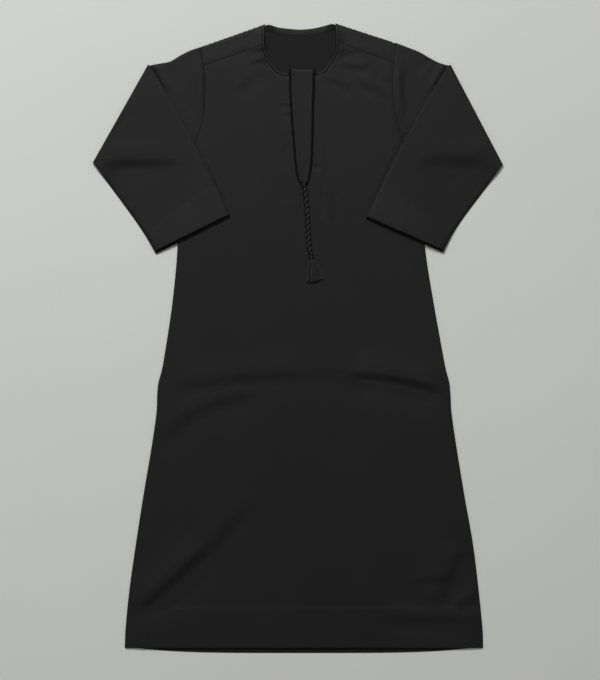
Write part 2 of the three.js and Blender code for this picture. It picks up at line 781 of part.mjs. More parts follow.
function makeCord() {
  const radius = cord.diameter / 2;
  const centre = (p) =>
    new THREE.Vector3(p.x, p.y, frontTop(p.x, p.y) + onCloth + radius + 0.1);
  const path = new THREE.CatmullRomCurve3(cordPlan.map(centre));
  const section = new THREE.Shape();
  for (let i = 0; i < cord.sides; i += 1) {
    const angle = (2 * Math.PI * i) / cord.sides;
    const place = [radius * Math.cos(angle), radius * Math.sin(angle)];
    if (i === 0) section.moveTo(...place);
    else section.lineTo(...place);
  }
  section.closePath();
  return new THREE.ExtrudeGeometry(section, { steps: cord.steps, extrudePath: path });
}

// One lock of threads: a four-sided taper from its root in the head to its free end
function threadLock(column, layer) {
  const { head, knob } = tassel;
  const u = (2 * column) / (tassel.columns - 1) - 1;
  const level = layer - (tassel.layers - 1) / 2;
  const floor = frontTop(head.x, head.y) + onCloth;
  const endWidth = tassel.threadWidth;
  const footX = mix(tassel.footLeft, tassel.footRight, (u + 1) / 2);
  const footY = tassel.footY + tassel.footRise * smooth(-1, 1, u) + 1.6 * Math.abs(level) + 2 * u * u;
  const root = new THREE.Vector3(head.x + u * tassel.rootHalfWidth, head.y - 4, 0);
  const foot = new THREE.Vector3(footX, footY, 0);
  const rows = [];
  const steps = 4;
  for (let i = 0; i <= steps; i += 1) {
    const t = i / steps;
    const spread = smooth(0, 0.8, t);
    const x = mix(root.x, foot.x, spread * 0.5 + t * 0.5);
    const y = mix(root.y, foot.y, t);
    const rootZ = knob.radius + level * 1.5;
    const footZ = endWidth / 2 + layer * tassel.layerSpacing;
    const z = floor + mix(rootZ, footZ, spread);
    const half = mix(0.28, endWidth / 2, spread);
    const pair = (side) => ({
      over: new THREE.Vector3(x + side * half, y, z + half),
      under: new THREE.Vector3(x + side * half, y, z - half),
    });
    rows.push([pair(-1), pair(1)]);
  }
  return solidOf(wallOf(rows));
}

function makeTassel() {
  const { knob, head } = tassel;
  const rest = frontTop(head.x, head.y) + onCloth;
  const knobBall = new THREE.SphereGeometry(knob.radius, 10, 8);
  knobBall.translate(knob.x, knob.y, rest + knob.radius);
  const headBall = new THREE.SphereGeometry(1, 12, 10);
  headBall.scale(head.halfWidth, head.halfLength, head.halfHeight);
  headBall.translate(head.x, head.y, rest + head.halfHeight);
  let whole = solidOf(knobBall).add(solidOf(headBall));
  for (let layer = 0; layer < tassel.layers; layer += 1)
    for (let column = 0; column < tassel.columns; column += 1)
      whole = whole.add(threadLock(column, layer));
  return geometryOf(whole);
}

// The garment
const matt = new THREE.MeshStandardMaterial({ color: clothColour, roughness: 0.92, metalness: 0 });
const trim = new THREE.MeshStandardMaterial({ color: trimColour, roughness: 0.6, metalness: 0 });

const garment = new THREE.Group();
function addPiece(name, geometry, material) {
  const mesh = new THREE.Mesh(geometry, material.clone());
  mesh.name = name;
  garment.add(mesh);
}

addPiece("back", makeBack(), matt);
addPiece("front", makeFront(), matt);
addPiece("neckband", makeNeckband(), matt);
addPiece("placket", makePlacket(), matt);
for (const side of ["left", "right"]) {
  addPiece("piping_" + side, makePiping(side), trim);
  addPiece("sleeve_" + side, makeSleeve(side), matt);
}
addPiece("cord_knot", makeKnot(), trim);
addPiece("cord", makeCord(), trim);
addPiece("tassel", makeTassel(), trim);
garment.position.set(originShift.x, originShift.y, 0);

export default garment;
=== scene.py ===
# %% [markdown]
# # A thobe laid flat
# A thobe is a long, loose shirt. This one is matt black, with a round neck, a placket that ends
# in a point, a twisted cord with a tassel, and plain sleeves folded over the front. It lies on
# its back on a pale floor, and the camera looks straight down on it.
#
# Sizes are written in millimetres, in the part's own frame: X to the viewer's right, Y to the
# neck, Z up from the floor. They become metres only where a mesh is made.

# %% Load the frame
import math

import bpy
import numpy as np
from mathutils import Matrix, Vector
from mathutils.geometry import delaunay_2d_cdt


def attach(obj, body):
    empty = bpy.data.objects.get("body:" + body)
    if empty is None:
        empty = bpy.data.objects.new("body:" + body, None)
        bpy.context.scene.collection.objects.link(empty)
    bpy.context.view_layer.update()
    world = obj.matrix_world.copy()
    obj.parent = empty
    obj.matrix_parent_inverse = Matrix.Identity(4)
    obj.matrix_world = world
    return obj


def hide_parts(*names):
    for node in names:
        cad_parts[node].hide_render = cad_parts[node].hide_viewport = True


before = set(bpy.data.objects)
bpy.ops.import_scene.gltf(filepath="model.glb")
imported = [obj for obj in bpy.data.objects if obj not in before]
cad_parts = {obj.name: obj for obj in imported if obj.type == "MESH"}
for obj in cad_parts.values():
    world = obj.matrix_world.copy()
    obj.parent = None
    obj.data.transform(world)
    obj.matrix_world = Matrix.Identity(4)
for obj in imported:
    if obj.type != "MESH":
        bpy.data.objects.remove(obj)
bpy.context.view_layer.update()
MM = 0.001
ORIGIN_SHIFT = np.array([0.05, 0.1, 0.0])  # brings the middle of the outline to the origin
print("frame:", sorted(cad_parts))

# %% [markdown]
# ## The camera
# The photograph looks straight down, so the camera looks along -Z with the neck at the top of
# the picture. A long lens keeps the raised parts from leaning outwards. Its height follows from
# the stretch of floor that the picture takes in.

# %% Camera
PICTURE = {"wide": 600, "high": 680}
MM_PER_PIXEL = 2.2666
VIEW_MIDDLE = np.array([5.0, -4.7])
LENS = 100
SENSOR = 36

camera_data = bpy.data.cameras.new("camera")
camera_data.lens = LENS
camera_data.sensor_width = SENSOR
camera = bpy.data.objects.new("camera", camera_data)
bpy.context.scene.collection.objects.link(camera)
bpy.context.scene.camera = camera
view_high = PICTURE["high"] * MM_PER_PIXEL
cloth_level = 5
camera.location = (*(VIEW_MIDDLE * MM), (view_high * LENS / SENSOR + cloth_level) * MM)
print(f"camera: {camera.location.z:.2f} m above the floor")

# %% [markdown]
# ## Reading short tables
# An outline is a short table with named columns, and a smooth curve runs through its rows. The
# same few rows then serve a mesh of any fineness.

# %% Tables and curves
def table(columns, *rows):
    """A short table: the name of each column gives its numbers."""
    return dict(zip(columns.split(), np.array(rows, float).T))


def smooth(low, high, value):
    """0 up to low, 1 from high on, and a smooth rise between them."""
    t = np.clip((value - low) / (high - low), 0, 1)
    return t * t * (3 - 2 * t)


def read(rows, key, column, place):
    """One column of a table at a place along another, with a smooth curve through the rows."""
    keys, values = rows[key], rows[column]
    if keys[-1] < keys[0]:
        keys, values = keys[::-1], values[::-1]
    before = np.maximum(np.arange(len(keys)) - 1, 0)
    after = np.minimum(np.arange(len(keys)) + 1, len(keys) - 1)
    slopes = (values[after] - values[before]) / (keys[after] - keys[before])
    place = np.clip(np.asarray(place, float), keys[0], keys[-1])
    i = np.clip(np.searchsorted(keys, place, side="right") - 1, 0, len(keys) - 2)
    span = keys[i + 1] - keys[i]
    t = (place - keys[i]) / span
    start = slopes[i] * span * t * (1 - t) ** 2
    end = slopes[i + 1] * span * t * t * (1 - t)
    return values[i] + (values[i + 1] - values[i]) * t * t * (3 - 2 * t) + start - end


def pairs(x, y):
    """Plan points from two columns, or from a column and one number."""
    return np.stack(np.broadcast_arrays(x, y), axis=1)


def step_lengths(points, axis=0):
    """How far apart neighbours are, in a line of points or along one way of a grid."""
    return np.linalg.norm(np.diff(points, axis=axis), axis=-1)


def spaced(points, steps):
    """The same line, cut in equal steps."""
    points = np.asarray(points, float)
    lengths = np.r_[0, np.cumsum(step_lengths(points))]
    places = np.linspace(0, lengths[-1], steps + 1)
    return np.stack([np.interp(places, lengths, column) for column in points.T], axis=1)


def plan_curve(rows, steps):
    """A smooth plan curve through the rows of a table, cut in equal steps."""
    points = pairs(rows["x"], rows["y"])
    padded = np.vstack([points[:1], points, points[-1:]])
    fine = []
    for a, b, c, d in zip(padded, padded[1:], padded[2:], padded[3:]):
        t = np.linspace(0, 1, 24, endpoint=False)[:, None]
        leave, arrive = (c - a) / 2, (d - b) / 2
        cubic = (2 * b - 2 * c + leave + arrive) * t**3
        fine.append(cubic + (3 * c - 3 * b - 2 * leave - arrive) * t**2 + leave * t + b)
    return spaced(np.vstack([*fine, points[-1:]]), steps)


def moved(line, distance):
    """A plan line moved sideways, to the left of its own direction."""
    way = np.vstack([line[1:2] - line[:1], line[2:] - line[:-2], line[-1:] - line[-2:-1]])
    way /= np.linalg.norm(way, axis=1, keepdims=True)
    return line + distance * np.stack([-way[:, 1], way[:, 0]], axis=1)


def along(line, share):
    """Points at shares of the way along a line that is cut in equal steps."""
    place = np.clip(share, 0, 1) * (len(line) - 1)
    i = np.minimum(np.floor(place).astype(int), len(line) - 2)
    part = (place - i)[..., None]
    return line[i] * (1 - part) + line[i + 1] * part


def mix(a, b, t):
    return a + (b - a) * t


# %% [markdown]
# ## The cord's route comes first
# The twisted cord hangs from the knot at the tip of the placket and lies loose on the front. It
# is fixed before the cloth, because the whole model has to have room for it.

# %% The cord's route
CORD = {"diameter": 11, "pitch": 25, "plies": 2, "ply_radius": 3.05, "ply_offset": 2.8}
cord_plan = table(
    "x y",
    (14.4, 340.8),
    (16.4, 326),
    (18.4, 308),
    (19.9, 290),
    (21, 270),
    (22.3, 250),
    (23.4, 230),
    (24.8, 210),
    (27.2, 197),
    (28.8, 188.9),
)
cord_line = plan_curve(cord_plan, 24)

# %% [markdown]
# ## The cut of the body
# The back and the front are two straight panels that flare to the hem, joined down the sides.
# Everything else is placed from these lines.

# %% Outlines
WALL = 1.0  # thickness of one layer of cloth
SEAM_GAP = 0.3
EDGE_RADIUS = 2  # radius of a rolled edge, where two layers meet
LAY_HEIGHT = 2 * EDGE_RADIUS
HEM_Y = -703.5
HEM_DEPTH = 94
NECK_MIDDLE = 5

side_rows = table(
    "y left right",
    (-704, -392.6, 420.3),
    (-662, -390.9, 419.0),
    (-576, -382.6, 410.5),
    (-467, -367.3, 397.2),
    (-358, -350.4, 378.0),
    (-250, -332.2, 360.3),
    (-168, -320.5, 348.5),
    (-127, -318.9, 346.1),
    (-100, -315.9, 343.4),
    (-73, -308.5, 336.1),
    (-32, -301.2, 328.2),
    (77, -284.9, 308.5),
    (199, -273.3, 289.2),
    (399, -264.7, 270.2),
    (720, -264.7, 270.2),
)
shoulder_fold = {
    "left": table("x y", (-74.3, 711.5), (-221.7, 659.4)),
    "right": table("x y", (85.4, 713.3), (224.9, 668.2)),
}
shoulder_seam = {
    "left": table("x y", (-74.3, 666.5), (-131, 645.8), (-214.2, 617.3)),
    "right": table("x y", (85.4, 672.5), (129.7, 656), (217, 624.5)),
}
armhole_rows = {
    "left": table(
        "x y",
        (-221.7, 659.4),
        (-214.2, 617.3),
        (-209.9, 575.5),
        (-212.4, 517.5),
        (-219.6, 481.2),
        (-234, 437.7),
        (-264.7, 398.7),
    ),
    "right": table(
        "x y",
        (224.9, 668.2),
        (217, 624.5),
        (214.6, 575.5),
        (219.6, 517.5),
        (227.2, 481.2),
        (239.4, 441),
        (270.2, 398.7),
    ),
}
armhole = {side: plan_curve(rows, 80) for side, rows in armhole_rows.items()}


def side_x(y, side):
    return read(side_rows, "y", side, y)


def shoulder_y(x):
    """The shoulder's fold, seen from above, as a height along Y for a place along X."""
    x = np.asarray(x, float)
    lines = []
    for side in ("left", "right"):
        fold = shoulder_fold[side]
        t = (x - fold["x"][0]) / (fold["x"][1] - fold["x"][0])
        lines.append(mix(fold["y"][0], fold["y"][1], t))
    return np.where(x < NECK_MIDDLE, *lines)


print(f"hem: {side_x(HEM_Y, 'right') - side_x(HEM_Y, 'left'):.0f} mm across")

# %% [markdown]
# ## Folds
# Cloth that has been pressed and laid down keeps a few long soft folds and many faint ones. Each
# is a row here: its two ends, how far its middle bows aside, half its width and its height, which
# is below zero for a trough. The main folds are steps: the cloth rises slowly to a crest, falls
# away steeply on one side, and comes back slowly. Lit from the other side, a step is a dark line
# with no bright one beside it. Placing each one by one keeps it where the eye expects it.

# %% Heights of the front
CROWN_HEIGHT = 1.1
EDGE_FADE = 45  # the crown and the long folds die out over this width beside an edge
CREASE_FADE = 12  # the small creases do so over this one
HEM_STEP = 0.7
HEM_STEP_WIDTH = 4
UNDERARM_Y = 399

body_folds = table(
    "x1 y1 x2 y2 bow half height",
    # the hollow below the long fold, and a faint one further down
    (-300, -190, -60, -120, 30, 34, -0.35),
    (-340, -351, -225, -303, 6, 20, -0.3),
    # the lower right corner
    (398, -495, 270, -560, 0, 26, -0.5),
    # pulls at the chest, and a ridge right of the cord
    (-136, 548, -78, 606, 0, 14, -0.3),
    (76, 590, 118, 548, 0, 14, -0.3),
    (74, 350, 88, 240, 5, 17, 0.3),
)
fine_folds = table(
    "x1 y1 x2 y2 bow half height",
    # a crease at the right armhole
    (190, 588, 217, 554, 2, 5, -0.6),
    # a tuck at the placket's top right, and soft creases right of the cord
    (40, 583, 50, 608, 0, 2.5, -0.5),
    (49, 582, 58, 605, 0, 2.5, 0.4),
    (55, 336, 57, 268, 0, 5, -1.0),
    (63, 344, 65, 262, 0, 4, 0.7),
    (84, 340, 88, 252, 0, 8, -1.1),
    (60, 456, 55, 310, -6, 2.5, 0.5),
    (34, 394, 50, 380, 0, 6, -0.8),
    (-32, 438, -26, 372, 0, 7, -0.7),
    (-36, 356, -20, 300, 0, 12, -0.5),
    # faint pressed lines
    (-230, 181, -96, 180, 0, 3, 0.2),
    (218, 82, 216, -70, 0, 3, 0.3),
    (197, 189, 241, 189, 0, 3, 0.15),
    (-52, 29, 62, 30, 0, 3, 0.12),
    (50, 2, 188, 2, 0, 3, -0.1),
)
step_folds = table(
    "x1 y1 x2 y2 bow half reach drop",
    # the long fold across the skirt: its left part, its dark right part, and the join
    (-290, -118, 30, -84, 9, 9, 44, 1.8),
    (102, -86, 341, -128, 11, 6, 50, 4.4),
    (-60, -86, 150, -84, 2, 9, 40, 0.6),
    # the arc below it, at the left side
    (-332, -256, -70, -130, 34, 12, 44, 2.2),
    # the slanting fold at the lower left
    (-372, -634, -96, -354, -13, 14, 50, 3.4),
    (-386, -633, -200, -466, -8, 12, 42, 3.9),
    # the lower right corner, above the hem and in its band
    (314, -622, 384, -470, 8, 16, 42, 3.8),
    (246, -556, 380, -540, 0, 9, 26, 1.6),
    (352, -618, 428, -572, 0, 9, 24, 2.6),
    (176, -636, 416, -643, -2, 13, 30, 2.6),
    # creases that fan out from the neck
    (-112, 646, -70, 658, 0, 3.5, 15, 1.1),
    (-110, 624, -66, 631, 0, 5, 18, 0.9),
    (88, 648, 118, 656, 0, 3.5, 10, 1.0),
    (-150, 552, -68, 612, 0, 12, 28, 0.7),
    (86, 632, 150, 651, 5, 4, 18, 0.8),
    (92, 622, 166, 612, -3, 5, 20, 1.0),
    (58, 590, 130, 562, 0, 6, 18, 0.7),
    (126, 594, 180, 554, 0, 6, 18, 0.55),
    (136, 584, 216, 536, 2, 9, 24, 0.6),
    # puckers left of the placket
    (-40, 531, -12, 526, 0, 3.5, 9, 0.6),
    (-37, 509, -12, 501, 3, 5, 11, 0.5),
    (-34, 462, -2, 466, 0, 6, 12, 0.35),
)

sleeve_edges = table(
    "x1 y1 x2 y2 bow",
    (-334.7, 618.0, -151.4, 273.9, 6),
    (341.3, 618.1, 153.5, 270.0, -8),
)
GROOVE = {"depth": 1.2, "half": 1.5}


def fold_place(x, y, x1, y1, x2, y2, bow, fade=0.25):
    """How far along a fold each place is, faded at its ends, and how far off its line."""
    length = math.hypot(x2 - x1, y2 - y1)
    ux, uy = (x2 - x1) / length, (y2 - y1) / length
    t = np.clip(((x - x1) * ux + (y - y1) * uy) / length, 0, 1)
    aside = (y - y1) * ux - (x - x1) * uy
    return smooth(0, fade, t) * smooth(0, fade, 1 - t), aside - bow * 4 * t * (1 - t)


def fold_heights(folds, x, y):
    """The sum of the soft troughs and ridges at each place."""
    total = np.zeros_like(x)
    for *line, half, height in zip(*folds.values()):
        share, off = fold_place(x, y, *line)
        total += height * share * np.exp(-((off / half) ** 2))
    return total


def step_heights(folds, x, y):
    """Folds that fall away on one side only, to the right of their direction."""
    total = np.zeros_like(x)
    for *line, half, reach, drop in zip(*folds.values()):
        share, off = fold_place(x, y, *line)
        total += drop * share * np.tanh(off / half) * np.exp(-((off / reach) ** 2))
    return total


def groove(x, y):
    """The dent that a sleeve's folded edge presses into the cloth below, along that edge."""
    total = np.zeros_like(x)
    for line in zip(*sleeve_edges.values()):
        share, off = fold_place(x, y, *line, fade=0.04)
        total -= GROOVE["depth"] * share * np.exp(-((off / GROOVE["half"]) ** 2))
    return total


def unevenness(x, y):
    """Long faint waves, which keep a laid panel from looking like a plate."""
    waves = np.sin(x / 31 + 1.3 * np.sin(y / 67)) * np.sin(y / 43 + 0.8)
    return 0.5 * waves + 0.5 * np.sin((x + 0.6 * y) / 24 + 2.1) * np.sin((y - 0.3 * x) / 58)


UNEVEN_HEIGHT = 0.16
ALLOWANCE_FADE = 30  # below the underarm
ALLOWANCE = table(  # the seam allowance inside each side edge: a low ridge, then a dip
    "place half left right",
    (8, 6, 0.45, 0.15),
    (19, 5, -0.45, -0.15),
)
FLOOR_OF_FRONT = 2.3  # the front never comes lower than this, so it stays clear of the back
NECK_SIDE = {"left": -74.3, "right": 85.4}
NECK_STAND = {  # the front stands up beside the neck's upper corners
    "height": 3.6,
    "reach": 17,
    "rises": (2, 16),
    "falls": (30, 90),
}


def front_top(x, y):
    """Top of the front, above the floor."""
    x, y = np.broadcast_arrays(np.asarray(x, float), np.asarray(y, float))
    from_left, from_right = x - side_x(y, "left"), side_x(y, "right") - x
    from_side = np.minimum(from_left, from_right) - EDGE_RADIUS
    from_shoulder = shoulder_y(x) - EDGE_RADIUS - y
    fade = smooth(0, EDGE_FADE, from_side) * smooth(0, EDGE_FADE, from_shoulder)
    relief = CROWN_HEIGHT + fold_heights(body_folds, x, y) + UNEVEN_HEIGHT * unevenness(x, y)
    relief = relief + HEM_STEP * smooth(0, HEM_STEP_WIDTH, HEM_Y + HEM_DEPTH - y)
    near = smooth(0, CREASE_FADE, from_side) * smooth(0, CREASE_FADE, from_shoulder)
    folds = fold_heights(fine_folds, x, y) + step_heights(step_folds, x, y)
    fine = near * (folds + groove(x, y))
    below_arm = smooth(0, ALLOWANCE_FADE, UNDERARM_Y - y)
    for place, half, left, right in zip(*ALLOWANCE.values()):
        for inside_edge, height in ((from_left, left), (from_right, right)):
            fine = fine + below_arm * height * np.exp(-(((inside_edge - place) / half) ** 2))
    for corner in NECK_SIDE.values():
        beside = np.exp(-(((x - corner) / NECK_STAND["reach"]) ** 2))
        rises = smooth(*NECK_STAND["rises"], from_shoulder)
        falls = smooth(*NECK_STAND["falls"], from_shoulder)
        fine = fine + NECK_STAND["height"] * beside * rises * (1 - falls)
    return np.maximum(LAY_HEIGHT + fade * relief + fine, FLOOR_OF_FRONT)


print(f"front: {front_top(0, 0):.1f} mm above the floor in the middle")

# %% [markdown]
# ## Cutting a panel
# A cutter draws the outline on flat cloth first. The same is done here: the outline and a grid
# of points inside it are joined by a Delaunay triangulation in the plane of the pattern, and only
# then is each point lifted to where it lies. That way the cut edges are clean, whatever the fold.

# %% Panels from an outline
def inside(points, outline):
    """Which points lie inside a closed outline."""
    found = np.zeros(len(points), bool)
    for (ax, ay), (bx, by) in zip(outline, np.roll(outline, -1, axis=0)):
        crosses = (ay > points[:, 1]) != (by > points[:, 1])
        rise = (by - ay) if by != ay else 1
        found ^= crosses & (points[:, 0] < (bx - ax) * (points[:, 1] - ay) / rise + ax)
    return found


def distance_to(points, line):
    """How far each point is from a plan line."""
    nearest = np.full(len(points), np.inf)
    for a, b in zip(line[:-1], line[1:]):
        way = b - a
        t = np.clip((points - a) @ way / max(way @ way, 1e-9), 0, 1)
        nearest = np.minimum(nearest, np.linalg.norm(points - a - t[:, None] * way, axis=1))
    return nearest


def evenly(line, spacing):
    """The same line with its points about one spacing apart."""
    return spaced(line, max(1, round(step_lengths(line).sum() / spacing)))


GRID_CLEAR = 0.55  # the grid keeps this share of its spacing from the edge rows
ROW_CLEAR = 0.8  # and an edge row this share of its own distance from the cut


def cut_panel(outline, spacing, edge_rows=(), fine_area=None):
    """Points and triangles of a flat panel, with rows of points along its edge."""
    closed = np.vstack([outline, outline[:1]])
    low, high = outline.min(axis=0), outline.max(axis=0)
    grids = []
    for step, area in ((spacing, None), (spacing / 2, fine_area)):
        if area is None and step != spacing:
            continue
        row_step = step * math.sqrt(3) / 2
        rows = np.arange(low[1], high[1], row_step)
        columns = np.arange(low[0], high[0], step)
        x, y = np.meshgrid(columns, rows)
        x = x + (np.arange(len(rows)) % 2)[:, None] * step / 2
        grid = pairs(x.ravel(), y.ravel())
        if fine_area is not None:
            x_low, y_low, x_high, y_high = fine_area
            inner = (abs(grid[:, 0] - (x_low + x_high) / 2) < (x_high - x_low) / 2) & (
                abs(grid[:, 1] - (y_low + y_high) / 2) < (y_high - y_low) / 2
            )
            grid = grid[inner if area is not None else ~inner]
        grids.append(grid)
    grid = np.vstack(grids)
    clear = max(edge_rows, default=0) + GRID_CLEAR * spacing
    grid = grid[inside(grid, outline)]
    grid = grid[distance_to(grid, closed) > clear]
    extra = []
    area_sign = np.sign(np.sum(closed[:-1, 0] * closed[1:, 1] - closed[1:, 0] * closed[:-1, 1]))
    for row in edge_rows:
        line = moved(closed, area_sign * row)[:-1]
        line = line[inside(line, outline)]
        extra.append(line[distance_to(line, closed) > ROW_CLEAR * row])
    points = np.vstack([outline, *extra, grid])
    border = list(range(len(outline)))
    loop = list(zip(border, border[1:] + border[:1]))
    vectors = [Vector(p) for p in points]
    cut = delaunay_2d_cdt(vectors, loop, [border], 1, 1e-4)
    return np.array([tuple(p) for p in cut[0]]), [tuple(face) for face in cut[2]]


# %% [markdown]
# ## Making a mesh from points
# One helper turns points in millimetres into a named mesh, with a weave map in metres that the
# cloth's material reads. Another adds the cloth's thickness on the inner side.

# %% Meshes
def flat_normal(points, faces):
    """The sum of the faces' normals, which tells which way an open sheet faces."""
    a, b, c = (points[[face[i] for face in faces]] for i in range(3))
    return np.cross(b - a, c - a).sum(axis=0)


def grid_faces(rows, columns, ringed=False):
    """Quads of a grid of points, row by row."""
    faces = []
    for r in range(rows - 1):
        for c in range(columns if ringed else columns - 1):
            a, b = r * columns + c, r * columns + (c + 1) % columns
            faces.append((a, b, b + columns, a + columns))
    return faces


def make_mesh(name, points, faces, pattern=None, edges=()):
    """An object whose place is in its mesh. pattern is each point's place on the flat cloth."""
    mesh = bpy.data.meshes.new(name)
    mesh.from_pydata(((points + ORIGIN_SHIFT) * MM).tolist(), list(edges), faces)
    mesh.polygons.foreach_set("use_smooth", [True] * len(mesh.polygons))
    if pattern is not None:
        corners = np.zeros(len(mesh.loops), int)
        mesh.loops.foreach_get("vertex_index", corners)
        weave = mesh.uv_layers.new(name="weave")
        weave.data.foreach_set("uv", (np.asarray(pattern)[corners] * MM).ravel())
    piece = bpy.data.objects.new(name, mesh)
    bpy.context.scene.collection.objects.link(piece)
    return piece


def give_thickness(piece, thickness=WALL):
    """The wall goes to the inner side of the outer face."""
    wall = piece.modifiers.new("cloth", "SOLIDIFY")
    wall.thickness = thickness * MM
    wall.offset = -1
    wall.use_rim = True
    return piece


def finish_piece(piece, material, slot_name, *nodes):
    """Material and body of a piece, and the solid that it stands for. slot_name is not used."""
    if material is not None:
        piece.data.materials.clear()
        piece.data.materials.append(material)
    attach(piece, "root")
    if nodes:
        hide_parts(*nodes)
    return piece


def make_panel(name, outline, cut, place, facing):
    """Cuts a panel, puts its points in place and turns its outer face up (1) or down (-1)."""
    pattern, faces = cut_panel(outline, *cut)
    points = place(pattern)
    if flat_normal(points, faces)[2] * facing < 0:
        faces = [face[::-1] for face in faces]
    print(f"{name}: {len(points)} points, {np.ptp(points[:, 1]):.0f} mm long")
    return give_thickness(make_mesh(name, points, faces, pattern))


# %% [markdown]
# ## Materials
# Every colour is an sRGB hex value turned to linear by one function, and one small function adds
# a node with its settings and links.

# %% Material helpers
def colour(hexadecimal):
    """An sRGB hex value as linear RGBA."""
    parts = [int(hexadecimal[i : i + 2], 16) / 255 for i in (1, 3, 5)]
    linear = [p / 12.92 if p <= 0.04045 else ((p + 0.055) / 1.055) ** 2.4 for p in parts]
    return (*linear, 1.0)


def add(tree, kind, inputs=None, **settings):
    """Adds a node. An input's value is a number or colour, or the socket that feeds it."""
    node = tree.nodes.new(kind)
    for key, value in settings.items():
        setattr(node, key, value)
    for key, value in (inputs or {}).items():
        if isinstance(value, bpy.types.NodeSocket):
            tree.links.new(value, node.inputs[key])
        else:
            node.inputs[key].default_value = value
    return node


def new_material(name):
    """A material with its tree, its shader and its output."""
    material = bpy.data.materials.new(name)
    material.use_nodes = True
    tree = material.node_tree
    tree.nodes.clear()
    shader = add(tree, "ShaderNodeBsdfPrincipled")
    add(tree, "ShaderNodeOutputMaterial", {"Surface": shader.outputs["BSDF"]})
    return material, tree, shader


def set_surface(tree, shader, tone, roughness, gloss=None, bump=None):
    """Joins a tone and a bump to the shader, and sets how dull and how glossy it is."""
    tree.links.new(tone, shader.inputs["Base Color"])
    shader.inputs["Roughness"].default_value = roughness
    if gloss is not None:
        shader.inputs["Specular IOR Level"].default_value = gloss
    if bump is not None:
        tree.links.new(bump.outputs["Normal"], shader.inputs["Normal"])


# %% [markdown]
# ### The cloth
# Matt black piece-dyed plain weave: spun yarns, one over and one under, dyed after weaving and
# brushed a little. To the eye that is a deep even black with a soft bloom where the cloth turns
# to the light, and a very fine grain. The yarns are 0.45 mm apart on the real cloth. They are
# drawn 0.9 mm apart, so that the grain shows from a step away.

# %% Plain weave
YARN = 0.9
YARN_RISE = 0.12
SLUB_SCALE = 380.0  # thick and thin places of the yarns, per metre
SLUB_HEIGHT = 0.8  # how much they stand out, against the yarn itself
WORN_SCALE = 9.0  # the soft patches where the dye has worn, per metre


def plain_weave(name, deep, worn, roughness, gloss):
    material, tree, shader = new_material(name)
    weave = add(tree, "ShaderNodeUVMap", uv_map="weave")
    place = weave.outputs["UV"]
    yarns = add(
        tree, "ShaderNodeVectorMath", {0: place, 1: (1 / (YARN * MM),) * 3}, operation="MULTIPLY"
    )
    split = add(tree, "ShaderNodeSeparateXYZ", {"Vector": yarns.outputs[0]})
    rounded = []
    for axis in ("X", "Y"):
        turn = add(
            tree, "ShaderNodeMath", {0: split.outputs[axis], 1: math.pi}, operation="MULTIPLY"
        )
        wave = add(tree, "ShaderNodeMath", {0: turn.outputs[0]}, operation="SINE")
        rounded.append(add(tree, "ShaderNodeMath", {0: wave.outputs[0]}, operation="ABSOLUTE"))
    over = add(tree, "ShaderNodeTexChecker", {"Vector": yarns.outputs[0], "Scale": 1.0})
    height = add(
        tree,
        "ShaderNodeMix",
        {0: over.outputs["Fac"], 2: rounded[0].outputs[0], 3: rounded[1].outputs[0]},
    )
    slub = add(tree, "ShaderNodeTexNoise", {"Vector": place, "Scale": SLUB_SCALE, "Detail": 2.0})
    rough_height = add(
        tree,
        "ShaderNodeMath",
        {0: slub.outputs["Fac"], 1: SLUB_HEIGHT, 2: height.outputs[0]},
        operation="MULTIPLY_ADD",
    )
    bump = add(
        tree,
        "ShaderNodeBump",
        {"Strength": 0.35, "Distance": YARN_RISE * MM, "Height": rough_height.outputs[0]},
    )
    patches = add(
        tree, "ShaderNodeTexNoise", {"Vector": place, "Scale": WORN_SCALE, "Detail": 4.0}
    )
    tone = add(
        tree,
        "ShaderNodeMix",
        {0: patches.outputs["Fac"], 6: colour(deep), 7: colour(worn)},
        data_type="RGBA",
    )
    set_surface(tree, shader, tone.outputs[2], roughness, gloss, bump)
    return material


cloth = plain_weave("matt_black_plain_weave", "#121213", "#161616", roughness=0.6, gloss=0.2)
# A darker copy of the cloth for the inner faces of the back and the sleeves: painted shade.
inside_painted_shade = plain_weave(
    "plain_weave_wrong_side", "#0e0e0e", "#111111", roughness=0.7, gloss=0.18
)
band_cloth = plain_weave(
    "bias_cut_plain_weave", "#121212", "#171717", roughness=0.6, gloss=0.22
)
print("cloth:", cloth.name, inside_painted_shade.name, band_cloth.name)

# %% [markdown]
# ### The trimming
# The cord, the tassel and the narrow braid beside the placket are filament rayon, twisted or
# braided. Their colour is darkened in the grooves between strands, which is painted shade; the
# small soft highlights on each turn come from the lamp.

# %% Filament rayon
STRAND_RISE = 0.15
# The colour of the grooves between strands: painted shade.
SHADE_BETWEEN_STRANDS = "#060606"


def filament(name, shade, roughness, gloss, twist_scale, slant):
    material, tree, shader = new_material(name)
    place = add(tree, "ShaderNodeTexCoord").outputs["Object"]
    turned = add(
        tree,
        "ShaderNodeMapping",
        {"Vector": place, "Rotation": (0.0, 0.0, math.radians(slant))},
    )
    strands = add(
        tree,
        "ShaderNodeTexWave",
        {"Vector": turned.outputs[0], "Scale": twist_scale, "Distortion": 1.5, "Detail": 2.0},
    )
    bump = add(
        tree,
        "ShaderNodeBump",
        {"Strength": 0.4, "Distance": STRAND_RISE * MM, "Height": strands.outputs["Fac"]},
    )
    # Painted shade: the strands' colour darkens in the grooves between them.
    tone = add(
        tree,
        "ShaderNodeMix",
        {0: strands.outputs["Fac"], 6: colour(SHADE_BETWEEN_STRANDS), 7: colour(shade)},
        data_type="RGBA",
    )
    set_surface(tree, shader, tone.outputs[2], roughness, gloss, bump)
    return material


cord_rayon = filament(
    "twisted_rayon", "#1d1d1d", roughness=0.58, gloss=0.35, twist_scale=260.0, slant=35.0
)
